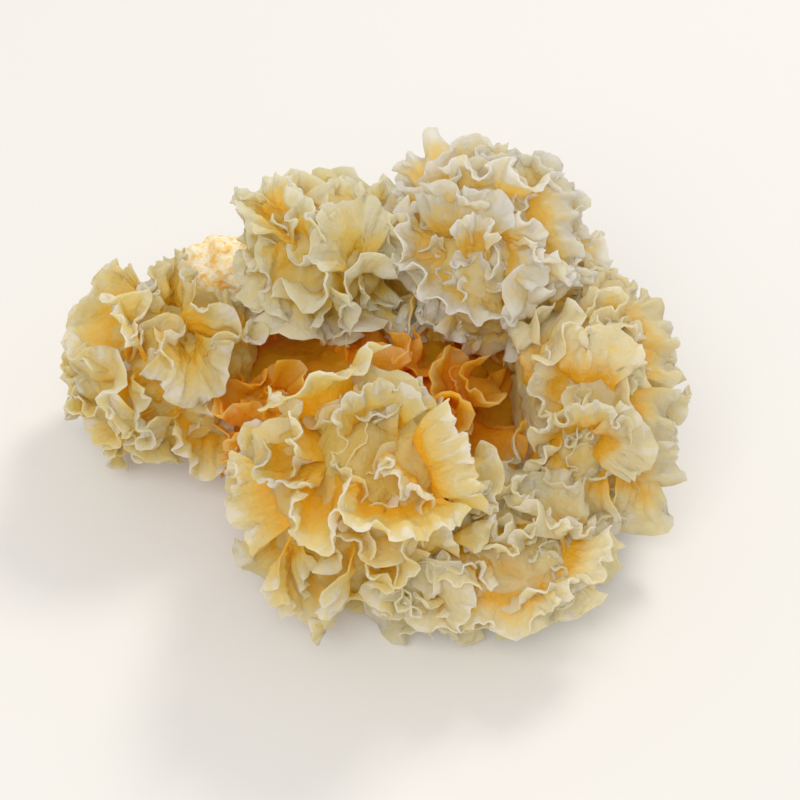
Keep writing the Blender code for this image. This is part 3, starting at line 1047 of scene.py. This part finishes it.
@dataclass
class Flesh:
    """Turns a stack of relaxed sheets into a mesh of thin flesh with its tones."""

    root_half: float = 0.45 * MM
    middle_half: float = 0.17 * MM
    lip_half: float = 0.21 * MM
    lip_round: float = 0.8
    thickness_levels: tuple[float, ...] = (0.0, 0.35, 0.85, 0.95, 1.0)
    fold_least: float = 0.55
    fold_span: float = 1.1
    deep: float = 20 * MM
    hollow_edge: float = 1.05
    hollow_fade: float = 0.4
    hollow_top: float = 36 * MM
    hollow_rise: float = 14 * MM
    hollow_most: float = 0.8
    speck: float = 0.2 * MM
    speck_search: float = 5.0
    speck_tint: float = -4.0

    def mesh(self, name: str, sheets: Array, spots: Sequence[Point2],
             rng: Random) -> bpy.types.Mesh:
        """Build one mesh of sheets.

        Args:
            name: name of the mesh.
            sheets: the relaxed sheets.
            spots: picture points of dark specks.
            rng: source of chance, for the tints.

        Returns:
            The mesh.
        """
        count, rows, columns = sheets.shape[:3]
        level = np.linspace(0.0, 1.0, rows)
        round_half = self.lip_half * self.lip_round
        half = np.interp(level, self.thickness_levels,
                         (self.root_half, self.middle_half, self.middle_half, self.lip_half,
                          round_half))
        offset = normals(sheets) * half[None, :, None, None]
        tip = unit(np.gradient(sheets, axis=1)[:, -1])
        lip = sheets[:, -1] + tip * self.lip_half * self.lip_round
        front = (sheets + offset).reshape(count, -1, 3)
        back = (sheets - offset).reshape(count, -1, 3)
        places = np.concatenate((front, back, lip), axis=1)
        places[..., 2] = np.maximum(places[..., 2], 0.0)
        per_sheet = places.shape[1]
        shifts = (np.arange(count) * per_sheet)[:, None, None]
        quads = (self.faces(rows, columns)[None] + shifts).reshape(-1, 4)
        mesh = bpy.data.meshes.new(name)
        flat = places.reshape(-1, 3)
        mesh.vertices.add(len(flat))
        mesh.vertices.foreach_set("co", flat.astype(np.float32).ravel())
        mesh.loops.add(quads.size)
        mesh.loops.foreach_set("vertex_index", quads.astype(np.int32).ravel())
        mesh.polygons.add(len(quads))
        mesh.polygons.foreach_set("loop_start", np.arange(0, quads.size, 4, dtype=np.int32))
        mesh.update(calc_edges=True)
        mesh.shade_smooth()
        grid = np.repeat(level, columns)
        folds = self.folds(sheets).reshape(count, -1)
        values = np.ones((len(flat), 4), dtype=np.float32)
        values[:, 0] = np.tile(np.concatenate((grid, grid, np.ones(columns))), count)
        values[:, 1] = self.depth(flat)
        values[:, 2] = np.repeat(rng.uniform(0, 1, count), per_sheet)
        values[:, 3] = np.concatenate((folds, folds, folds[:, -columns:]), axis=1).ravel()
        for spot in spots:
            values[self.at(flat, spot), 2] = self.speck_tint
        set_tone(mesh, values)
        return mesh

    @staticmethod
    def faces(rows: int, columns: int) -> Array:
        """List the quads of one sheet.

        Args:
            rows: rows of the grid.
            columns: columns of the grid.

        Returns:
            Corner numbers; the front grid comes first, then the back, then the lip.
        """
        size = rows * columns
        row, column = np.meshgrid(np.arange(rows - 1), np.arange(columns - 1), indexing="ij")
        corner = (row * columns + column).ravel()
        front = np.stack((corner, corner + 1, corner + columns + 1, corner + columns), axis=1)
        back = front[:, ::-1] + size
        low = np.arange(columns - 1)
        last = (rows - 1) * columns + low
        lip = 2 * size + low
        over = np.stack((last, last + 1, lip + 1, lip), axis=1)
        under = np.stack((last + size + 1, last + size, lip, lip + 1), axis=1)
        root = np.stack((low + 1, low, low + size, low + size + 1), axis=1)
        step = np.arange(rows - 1) * columns
        left = np.stack((step, step + columns, step + columns + size, step + size), axis=1)
        right = left[:, ::-1] + columns - 1
        return np.concatenate((front, back, over, under, root, left, right)).astype(np.int64)

    def folds(self, sheets: Array) -> Array:
        """Tell how sharply the sheets fold at each point.

        Args:
            sheets: the relaxed sheets.

        Returns:
            0 where a sheet is flat to 1 on a sharp fold, as sheets by rows by columns.
        """
        total = np.zeros(sheets.shape[:3])
        for axis in (1, 2):
            line = np.moveaxis(unit(np.diff(sheets, axis=axis)), axis, 0)
            turn = np.linalg.norm(line[1:] - line[:-1], axis=-1)
            np.moveaxis(total, axis, 0)[1:-1] += turn
        return np.clip((total - self.fold_least) / self.fold_span, 0.0, 1.0)

    def depth(self, places: Array) -> Array:
        """Tell how deep places lie inside the head.

        Args:
            places: the places.

        Returns:
            0 on the outside of the head to 1 deep inside it.
        """
        deepest = np.zeros(len(places))
        for name, mass in MASSES.items():
            if name != "cut_stub":
                inner = 1.0 - np.linalg.norm(mass.local(places), axis=1)
                deepest = np.maximum(deepest, inner * min(mass.radii))
        inside = np.clip(deepest / self.deep, 0.0, 1.0)
        # Low places in the middle of the foot count as deep as well, so the hollows there take the deep
        # orange: partly the base's own colour, partly painted glow and painted shade.
        away = np.linalg.norm(MASSES["foot"].local(places)[:, :2], axis=1)
        middle = np.clip((self.hollow_edge - away) / self.hollow_fade, 0.0, 1.0)
        low = np.clip((self.hollow_top - places[:, 2]) / self.hollow_rise, 0.0, 1.0)
        return np.maximum(inside, self.hollow_most * middle * low)

    def at(self, places: Array, spot: Point2) -> Array:
        """Find the corners that show at a picture point.

        Args:
            places: the corners' places.
            spot: the picture point.

        Returns:
            Numbers of the corners next to the frontmost one there.
        """
        off = np.linalg.norm(VIEW.seen(places) - np.array(spot), axis=1)
        towards = places @ VIEW.axes()[2]
        first = int(np.argmax(np.where(off < self.speck_search, towards, -1.0)))
        return np.flatnonzero(np.linalg.norm(places - places[first], axis=1) < self.speck)


def shaped_ball(name: str, shape: Callable[[Vector], Vector]) -> bpy.types.Mesh:
    """Make a mesh from a unit ball by moving each of its corners.

    Args:
        name: name of the mesh.
        shape: gives the new place of a corner.

    Returns:
        The mesh.
    """
    form = bmesh.new()
    bmesh.ops.create_icosphere(form, subdivisions=5, radius=1.0)
    for vert in form.verts:
        vert.co = shape(vert.co)
    mesh = bpy.data.meshes.new(name)
    form.to_mesh(mesh)
    form.free()
    mesh.shade_smooth()
    return mesh


def show(mesh: bpy.types.Mesh, material: bpy.types.Material, name: str, slot: str) -> None:
    """Put a mesh into the scene as the look of a node.

    Args:
        mesh: the mesh, which gives the piece its name.
        material: its finish.
        name: the node that it replaces.
        slot: the node's material slot; not used.
    """
    piece = bpy.data.objects.new(mesh.name, mesh)
    bpy.context.scene.collection.objects.link(piece)
    mesh.materials.append(material)
    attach(piece, "root")
    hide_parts(name)
    log.info("%s: %d faces", piece.name, len(mesh.polygons))


@dataclass(frozen=True)
class Core:
    """Folded flesh that the fronds of a lobe stand on."""

    share: float = 0.75
    unevenness: float = 0.12
    hills: float = 2.2
    fold: float = 6.0 * MM
    fold_height: float = 2.2 * MM
    lowest: float = 0.3 * MM
    level: float = 0.42
    level_top: float = 1.3
    sunk_shade: float = 0.6
    depth: float = 0.3
    tint: float = 0.5

    def mesh(self, name: str, mass: Mass) -> bpy.types.Mesh:
        """Make the core of a mass.

        Args:
            name: name of the mesh.
            mass: the mass.

        Returns:
            The mesh.
        """
        radii = Vector(mass.radii) * self.share
        centre = Vector(mass.centre)
        heights = []

        def shape(spot: Vector) -> Vector:
            """Move a corner of the unit ball out to the folded core."""
            place = Vector(c * r for c, r in zip(spot, radii)) + centre
            size = 1.0 + self.unevenness * noise.noise(spot * self.hills)
            swirl = place + noise.noise_vector(place / (2 * self.fold)) * self.fold
            near = noise.voronoi(swirl / self.fold)[0]
            heights.append(min(near[1] - near[0], 0.5) * 2)
            sunk = spot.normalized() * self.fold_height * heights[-1]
            moved = (place - centre) * size + centre - sunk
            moved.z = max(moved.z, self.lowest)
            return moved

        mesh = shaped_ball(name, shape)
        values = np.ones((len(mesh.vertices), 4), dtype=np.float32)
        # The sunk places between the core's folds take deeper, darker colours: painted shade.
        values[:, 0] = self.level * (self.level_top - self.sunk_shade * np.array(heights))
        values[:, 1:3] = self.depth, self.tint
        set_tone(mesh, values)
        return mesh


@dataclass(frozen=True)
class Lobe:
    """A lobe or the foot: a folded core and the fronds that stand on it, of one flesh."""

    slot: str
    finish: FrondFinish
    habit: Habit
    specks: tuple[Point2, ...] = ()
    core: Core = Core()
    flesh: Flesh = field(default_factory=Flesh)

    def build(self, name: str, sheets: Array, rng: Random) -> None:
        """Build the lobe's two pieces and dress them.

        Args:
            name: the lobe's node.
            sheets: its relaxed fronds.
            rng: source of chance, for their tints.
        """
        material = self.finish.material()
        show(self.flesh.mesh(name + "_fronds", sheets, self.specks, rng), material, name,
             self.slot)
        show(self.core.mesh(name + "_core", MASSES[name]), material, name, self.slot)


@dataclass
class CutStub:
    """The lumpy, porous stub by which the growth held to its wood."""

    finish: StubFinish = StubFinish()
    lump: float = 4.0 * MM
    lump_height: float = 1.8 * MM
    pore: float = 1.6 * MM
    pore_depth: float = 0.8 * MM
    pore_width: float = 2.2
    squareness: float = 0.12

    def build(self) -> None:
        """Build the stub and dress it."""
        name = "cut_stub"
        mesh = shaped_ball(name + "_flesh", lambda spot: self.shape(spot, MASSES[name]))
        show(mesh, self.finish.material(), name, "rough_stub")

    def shape(self, spot: Vector, mass: Mass) -> Vector:
        """Move a corner of the unit ball out to the lumpy stub.

        Args:
            spot: the corner.
            mass: the stub's size and place.

        Returns:
            Its new place.
        """
        square = 1.0 / max(abs(c) ** 3 for c in spot) ** self.squareness
        place = Vector(c * r / square ** 0.5 for c, r in zip(spot, mass.radii))
        height = self.lump_height * noise.noise(place / self.lump)
        near = noise.voronoi(place / self.pore)[0][0]
        height -= self.pore_depth * max(0.0, 1.0 - self.pore_width * near)
        return place + spot.normalized() * height + Vector(mass.centre)


@dataclass
class Head:
    """The whole head: grows all fronds at once, so that they find room among each other."""

    layout: Layout = field(default_factory=Layout)
    fan: Fan = field(default_factory=Fan)
    refiner: Refiner = field(default_factory=Refiner)
    broad: Relaxer = field(default_factory=lambda: Relaxer(
        rounds=220, contact=2.0 * MM, contact_every=5, free_row=2, near=3))
    fine: Relaxer = field(default_factory=lambda: Relaxer(
        rounds=90, contact=1.0 * MM, contact_every=9, free_row=4, near=4))
    fine_hold: float = 0.02

    def grow(self) -> dict[str, Array]:
        """Grow every frond.

        Returns:
            Relaxed sheets by mass.
        """
        rng = np.random.default_rng(SEED)
        grids, growths, sheets, counts = [], [], [], {}
        for name, lobe in LOBES.items():
            own = []
            for plan in PLANS[name].values():
                own += self.layout.planned(MASSES[name], plan)
            own += self.layout.between(name, lobe.habit, own, rng)
            for sheet in own:
                grids.append(self.fan.grid(sheet, rng))
                growths.append(self.fan.growth(sheet, rng))
            sheets += own
            counts[name] = len(own)
        log.info("fronds: %s, in all %d", counts, len(sheets))
        bend = np.array([sheet.crinkle.value.bend for sheet in sheets])
        fine = np.array([sheet.crinkle.value.fine * sheet.vigour for sheet in sheets])
        hold = np.array([sheet.hold for sheet in sheets])
        relaxed = self.broad.relax(np.array(grids), np.array(growths), bend, hold)
        finer = self.refiner.refine(relaxed)
        frills = self.refiner.growth(finer, fine, rng)
        hold = np.full(len(sheets), self.fine_hold)
        relaxed = self.fine.relax(self.refiner.ripple(finer, rng), frills, bend, hold)
        relaxed = self.refiner.weather(relaxed, rng)
        ends = np.cumsum(list(counts.values()))
        return dict(zip(counts, np.split(relaxed, ends[:-1])))


@dataclass(frozen=True)
class Lamp:
    """A soft area light that looks at the head: its place, side, power in watts and colour."""

    place: Point3
    side: float
    power: float
    colour: str

    def build(self, name: str) -> None:
        """Put the light into the scene."""
        data = bpy.data.lights.new(name, "AREA")
        data.size = self.side
        data.energy = self.power
        data.color = srgb(self.colour)[:3]
        item = bpy.data.objects.new(name, data)
        item.location = self.place
        aim = Vector((0.0, 0.0, 20 * MM)) - Vector(self.place)
        item.rotation_euler = aim.to_track_quat("-Z", "Y").to_euler()
        bpy.context.scene.collection.objects.link(item)


@dataclass
class Studio:
    """Pale floor, soft lights and the camera."""

    key: Lamp = Lamp((0.28, 0.54, 0.75), 0.25, 4.1, "#FFF7EA")
    fill: Lamp = Lamp((-0.18, -0.62, 0.74), 0.6, 5.0, "#FFFAEF")
    sky: str = "#ECEAE8"
    sky_strength: float = 0.60
    gamma: float = 1.5
    floor_colour: str = "#E4E2DF"
    floor_roughness: float = 0.8
    floor_half: float = 3.0
    sensor: float = 36.0
    nearest: float = 0.01

    def build(self) -> None:
        """Make the floor, the lights and the camera."""
        self.floor()
        self.key.build("key")
        self.fill.build("fill")
        self.surroundings()
        self.camera()

    def floor(self) -> None:
        """Make the plain floor of matt paint."""
        form = bmesh.new()
        bmesh.ops.create_grid(form, x_segments=1, y_segments=1, size=self.floor_half)
        data = bpy.data.meshes.new("floor")
        form.to_mesh(data)
        form.free()
        floor = bpy.data.objects.new("floor", data)
        bpy.context.scene.collection.objects.link(floor)
        material, tree = empty_material("matt_painted_floor")
        surface = add(tree, "BsdfPrincipled", {"Base Color": srgb(self.floor_colour),
                                               "Roughness": self.floor_roughness})
        add(tree, "OutputMaterial", links={0: surface})
        data.materials.append(material)

    def surroundings(self) -> None:
        """Make the even light from all round, and set how the picture is toned."""
        scene = bpy.context.scene
        scene.view_settings.view_transform = "Standard"
        scene.view_settings.gamma = self.gamma
        world = bpy.data.worlds.new("studio")
        world.use_nodes = True
        background = world.node_tree.nodes["Background"]
        background.inputs[0].default_value = srgb(self.sky)
        background.inputs[1].default_value = self.sky_strength
        scene.world = world

    def camera(self) -> None:
        """Make the camera on the line of sight."""
        middle = VIEW.picture / 2
        eye, forward = VIEW.ray((middle, middle))
        back = -forward
        side = np.cross(VIEW.axes()[1], back)
        side /= np.linalg.norm(side)
        turn = Matrix((side, np.cross(back, side), back)).transposed()
        data = bpy.data.cameras.new("camera")
        data.sensor_width = self.sensor
        data.lens = self.sensor * VIEW.distance / (VIEW.picture * VIEW.point)
        data.clip_start = self.nearest
        item = bpy.data.objects.new("camera", data)
        item.matrix_world = Matrix.Translation(Vector(eye)) @ turn.to_4x4()
        bpy.context.scene.collection.objects.link(item)
        bpy.context.scene.camera = item


SMOOTH, BROAD, SOFT, FRILLED, FINE = Crinkle

# Laid out on the photograph, lobe by lobe; see Plan for what the numbers are.
PLANS = {
    "left_lobe": {
        "outer_edge": Plan(((110, 266, 0), (86, 294, 0), (68, 340, 0), (90, 372, 1)), (45, 10), 13, SOFT),
        "pointed_tip": Plan(((108, 336, 0), (130, 284, 1), (150, 332, 1)), (0, 34), 9, BROAD),
        "grey_facet": Plan(((146, 276, 0), (180, 250, 0), (205, 291, 0)), (-5, 42), 11, BROAD),
        "broad_shoulder": Plan(((200, 292, 1), (246, 318, 0), (266, 342, 0), (226, 366, 0)),
                               (-38, 8), 10, BROAD),
        "facing_fan": Plan(((214, 346, 2), (216, 372, 2), (188, 400, 2), (156, 366, 2)),
                           (0, -40), 10, BROAD),
        "lower_edge": Plan(((64, 371, 0), (97, 380, 1), (102, 418, 1), (124, 420, 1)),
                           (42, -8), 13, FRILLED),
        "low_tip": Plan(((120, 392, 1), (138, 450, 0), (172, 436, 0)), (18, -40), 13, SOFT),
        "low_loops": Plan(((180, 440, 0), (200, 472, 0), (232, 470, 0), (246, 442, 0)),
                          (0, -42), 13, FRILLED),
        "neck_leaf": Plan(((226, 296, -5), (248, 306, -5), (266, 328, -5)), (-10, 26), 9, SOFT),
        "top_curl": Plan(((137, 290, -3), (152, 283, -3), (166, 300, -3)), (5, 25), 9, SOFT),
    },
    "upper_left_lobe": {
        "outer_edge": Plan(((256, 240, 0), (234, 212, 0), (236, 190, 0), (262, 182, 0)),
                           (42, 18), 13, SOFT),
        "grey_leaf": Plan(((280, 222, 2), (286, 186, 2), (314, 194, 2), (336, 228, 2)),
                          (-4, 40), 10, BROAD),
        "cream_cup": Plan(((342, 262, 1), (338, 226, 1), (362, 210, 1), (388, 232, 1)), (0, 36), 10, BROAD),
        "crest": Plan(((314, 190, -5), (335, 172, -6), (350, 184, -6), (394, 176, -6)), (4, 42), 13, SOFT),
        "hanging_edge": Plan(((264, 268, 0), (274, 304, 0), (302, 334, -1), (318, 318, 0)),
                             (16, -44), 13, SOFT),
        "hanging_tips": Plan(((322, 300, 0), (340, 338, -1), (358, 330, -1), (392, 328, -2)),
                             (0, -46), 13, FRILLED),
        "tall_tip": Plan(((262, 180, 0), (291, 175, 0), (300, 186, 0)), (0, 40), 13, SOFT),
        "saddle": Plan(((372, 206, -8), (392, 226, -9), (398, 254, -9)), (-28, 10), 9, SOFT),
        "right_tip": Plan(((362, 290, -2), (380, 316, -2), (400, 300, -2)), (0, -40), 13, SOFT),
    },
    "upper_right_lobe": {
        "crest": Plan(((398, 158, -4), (422, 136, -6), (450, 133, -6), (474, 144, -6)), (10, 48), 13, SOFT),
        "crest_right": Plan(((476, 142, -6), (512, 158, -5), (545, 159, -5), (562, 178, -4)),
                            (-10, 44), 13, FRILLED),
        "outer_edge": Plan(((564, 176, -3), (572, 212, -2), (580, 254, -2), (594, 284, -2)),
                           (-50, 8), 13, FRILLED),
        "upper_ribbon": Plan(((398, 176, 0), (446, 182, 0), (492, 196, 0)), (2, 24), 10, BROAD),
        "lower_ribbon": Plan(((414, 204, 1), (474, 200, 1), (500, 226, 1)), (0, 24), 8, BROAD),
        "left_fall": Plan(((400, 190, 0), (398, 232, 0), (398, 262, 0)), (32, 4), 12, SOFT),
        "lower_ruffle": Plan(((398, 262, 0), (426, 296, 0), (458, 317, 0), (508, 334, -1)),
                             (10, -46), 13, SOFT),
        "hanging_fan": Plan(((448, 330, -5), (484, 362, -6), (514, 344, -6), (540, 338, -6)),
                            (4, -46), 13, SOFT),
        "hanging_cup": Plan(((398, 336, -9), (414, 372, -9), (454, 364, -8), (442, 318, -7)),
                            (-2, -48), 9, BROAD),
        "pale_frill": Plan(((538, 230, 0), (568, 262, 0), (597, 302, 0), (584, 324, -1)),
                           (-42, -12), 13, FINE),
        "loop_rim": Plan(((450, 227, 0), (463, 216, 0), (491, 217, 0), (500, 235, 0)), (0, 35), 6, BROAD),
        "inner_frill": Plan(((520, 215, 0), (540, 250, 0), (530, 285, 0)), (-25, 0), 10, FRILLED),
    },
    "right_lobe": {
        "crest": Plan(((584, 270, -5), (614, 267, -6), (634, 284, -6), (646, 302, -5)),
                      (-16, 46), 13, FRILLED),
        "shoulder": Plan(((654, 300, -3), (676, 340, -2), (676, 386, -2)), (-50, 4), 13, FINE),
        "outer_edge": Plan(((674, 388, 0), (668, 432, 0), (665, 462, 0), (673, 496, 0)),
                           (-46, -8), 13, FINE),
        "low_corner": Plan(((672, 500, 0), (668, 520, 0), (645, 530, 0), (620, 518, 0)),
                           (-16, -44), 13, FRILLED),
        "low_edge": Plan(((612, 516, 0), (588, 524, 0), (562, 508, 0), (534, 486, 0)), (10, -44), 13, FINE),
        "upper_pocket": Plan(((560, 334, 0), (584, 348, 0), (612, 342, 0), (628, 366, 0)),
                             (-4, 36), 13, FRILLED),
        "middle_pocket": Plan(((556, 404, 0), (584, 396, 1), (622, 404, 1), (640, 420, 0)),
                              (0, 34), 13, FRILLED),
        "inner_edge": Plan(((548, 352, -1), (538, 392, -2), (550, 424, -1), (536, 452, -1)),
                           (32, 0), 13, FRILLED),
        "rosette": Plan(((505, 448, 0), (506, 476, 0), (530, 482, 0), (547, 456, 0)),
                        (5, -25), 10, FRILLED),
        "middle_frill": Plan(((606, 430, 0), (630, 450, 0), (615, 480, 0)), (-20, -10), 10, FRILLED),
    },
    "front_lobe": {
        "long_ribbon": Plan(((368, 340, 3), (340, 356, 4), (300, 378, 4), (266, 392, 3)),
                            (5, 15), 13, BROAD),
        "arched_ribbon": Plan(((330, 418, 3), (346, 394, 4), (388, 380, 3), (426, 402, 2)),
                              (-2, 12), 14, BROAD),
        "right_ribbon": Plan(((427, 410, 2), (441, 438, 2), (455, 480, 2), (462, 500, 2)),
                             (-3, 4), 12, SOFT),
        "left_curl": Plan(((269, 390, 1), (288, 420, 1), (296, 452, 1)), (28, 8), 12, BROAD),
        "white_loop": Plan(((354, 486, 4), (366, 514, 4), (408, 525, 4), (466, 500, 3)),
                           (4, -12), 14, BROAD),
        "pale_side": Plan(((234, 466, 0), (235, 508, 0), (257, 546, 0)), (42, -16), 12, SOFT),
        "tall_loop": Plan(((298, 496, 2), (304, 534, 2), (320, 542, 2), (334, 504, 2)),
                          (0, -38), 10, BROAD),
        "low_fan": Plan(((270, 582, 0), (286, 616, 0), (334, 628, 0), (356, 592, 0)), (2, -50), 12, SOFT),
        "orange_fold": Plan(((253, 559, -4), (267, 583, -4), (284, 557, -4)), (10, -30), 10, SOFT),
        "inner_fold": Plan(((370, 456, 0), (392, 448, 1), (414, 470, 1), (440, 494, 0)),
                           (8, -14), 9, FRILLED),
        "box_fold": Plan(((252, 446, 1), (253, 478, 1), (280, 486, 1), (309, 488, 1)),
                         (20, -28), 11, SMOOTH),
    },
    "front_right_lobe": {
        "low_left": Plan(((374, 546, 0), (386, 582, 0), (408, 612, 0), (436, 618, 0)),
                         (22, -32), 9, FRILLED),
        "low_ruffle": Plan(((440, 618, 0), (484, 624, 0), (518, 628, 0), (560, 604, 0)),
                           (-2, -38), 9, FINE),
        "right_tips": Plan(((562, 602, 0), (596, 576, 0), (610, 540, 0)), (-42, -14), 10, FINE),
        "rosette": Plan(((484, 512, 1), (486, 546, 2), (514, 556, 2), (538, 530, 1)), (2, -20), 7, FRILLED),
        "long_ridge": Plan(((376, 534, 1), (420, 544, 2), (452, 562, 2), (480, 572, 2)), (2, -26), 8, SOFT),
        "small_ridge": Plan(((542, 514, 0), (562, 536, 1), (596, 530, 0)), (-4, -24), 8, FINE),
        "upper_ridge": Plan(((370, 530, 0), (400, 535, 0), (430, 530, 0), (470, 505, 0)), (0, 20), 8, SOFT),
        "low_arch": Plan(((420, 545, 0), (450, 568, 0), (475, 562, 0), (500, 578, 0)),
                         (0, -25), 8, FRILLED),
    },
    "foot": {
        "hollow_rim": Plan(((450, 374, -2), (476, 390, -1), (514, 380, -1), (545, 396, -2)),
                           (0, 24), 9, SOFT),
        "hollow_fold": Plan(((446, 424, 1), (486, 436, 2), (530, 444, 2)), (-2, 24), 9, SOFT),
        "left_fold": Plan(((232, 384, 2), (276, 404, 3), (262, 440, 3)), (34, -6), 10, SOFT),
    },
    "back_lobe": {
        "left_neck": Plan(((236, 288, 0), (246, 306, 0), (262, 326, 0)), (40, 0), 10, SOFT),
    },
}

LOBES = {
    "left_lobe": Lobe(
        "cream_frond", FrondFinish("air_dried_cream_frond_left"),
        Habit(SOFT, 5.4 * MM, (6 * MM, 11 * MM)),
        ((133, 325), (258, 326), (242, 282), (196, 402))),
    "upper_left_lobe": Lobe(
        "cream_frond",
        FrondFinish("air_dried_greenish_cream_frond", margin="#F5F1DA", pale="#F1EBC8",
                    face="#EEE6B8", pocket="#F3D868", deep="#F8CA36"),
        Habit(SOFT, 5.2 * MM, (6 * MM, 10 * MM)), ((366, 190), (289, 314))),
    "upper_right_lobe": Lobe(
        "cream_frond",
        FrondFinish("air_dried_whitish_frond", margin="#F7F4EB", pale="#F3EEDB",
                    face="#F0E8CA", pocket="#F4DA7C", deep="#F9C83C"),
        Habit(FRILLED, 4.8 * MM, (5.5 * MM, 9.5 * MM)), ((470, 262),)),
    "right_lobe": Lobe(
        "yellow_frond",
        FrondFinish("air_dried_yellow_frond_right", face="#F2E7BA", pocket="#F5DB7E"),
        Habit(FINE, 4.9 * MM, (5 * MM, 8.5 * MM)), ((618, 372),)),
    "front_lobe": Lobe(
        "cream_frond", FrondFinish("air_dried_cream_frond_front"),
        Habit(SOFT, 5.6 * MM, (7 * MM, 11 * MM)), ((322, 470), (389, 508))),
    "front_right_lobe": Lobe(
        "yellow_frond",
        FrondFinish("air_dried_yellow_frond_front", face="#F3EAC2", pocket="#F6DF88"),
        Habit(FINE, 4.7 * MM, (5 * MM, 8.5 * MM)), ((508, 590),)),
    "foot": Lobe(
        "orange_foot",
        FrondFinish("air_dried_orange_foot", margin="#FFD878", pale="#FFCC50", face="#FFC02C",
                    pocket="#FFB30E", deep="#FFA904", sunken_orange_glow="#FFA200", glow=0.78),
        Habit(FRILLED, 5.4 * MM, (5.5 * MM, 9 * MM), rise=0.36), core=Core(share=0.9)),
    "back_lobe": Lobe(
        "cream_frond", FrondFinish("air_dried_cream_frond_back"),
        Habit(FRILLED, 6.6 * MM, (7 * MM, 11 * MM))),
}


def main() -> None:
    """Build the head and its studio."""
    logging.basicConfig(level=logging.INFO, format="%(message)s")
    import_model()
    noise.seed_set(SEED)  # the swirls of the cores start at a random place otherwise
    grown = Head().grow()
    rng = np.random.default_rng(SEED + 1)
    for name, lobe in LOBES.items():
        lobe.build(name, grown[name], rng)
    CutStub().build()
    Studio().build()


if __name__ == "__main__":
    main()
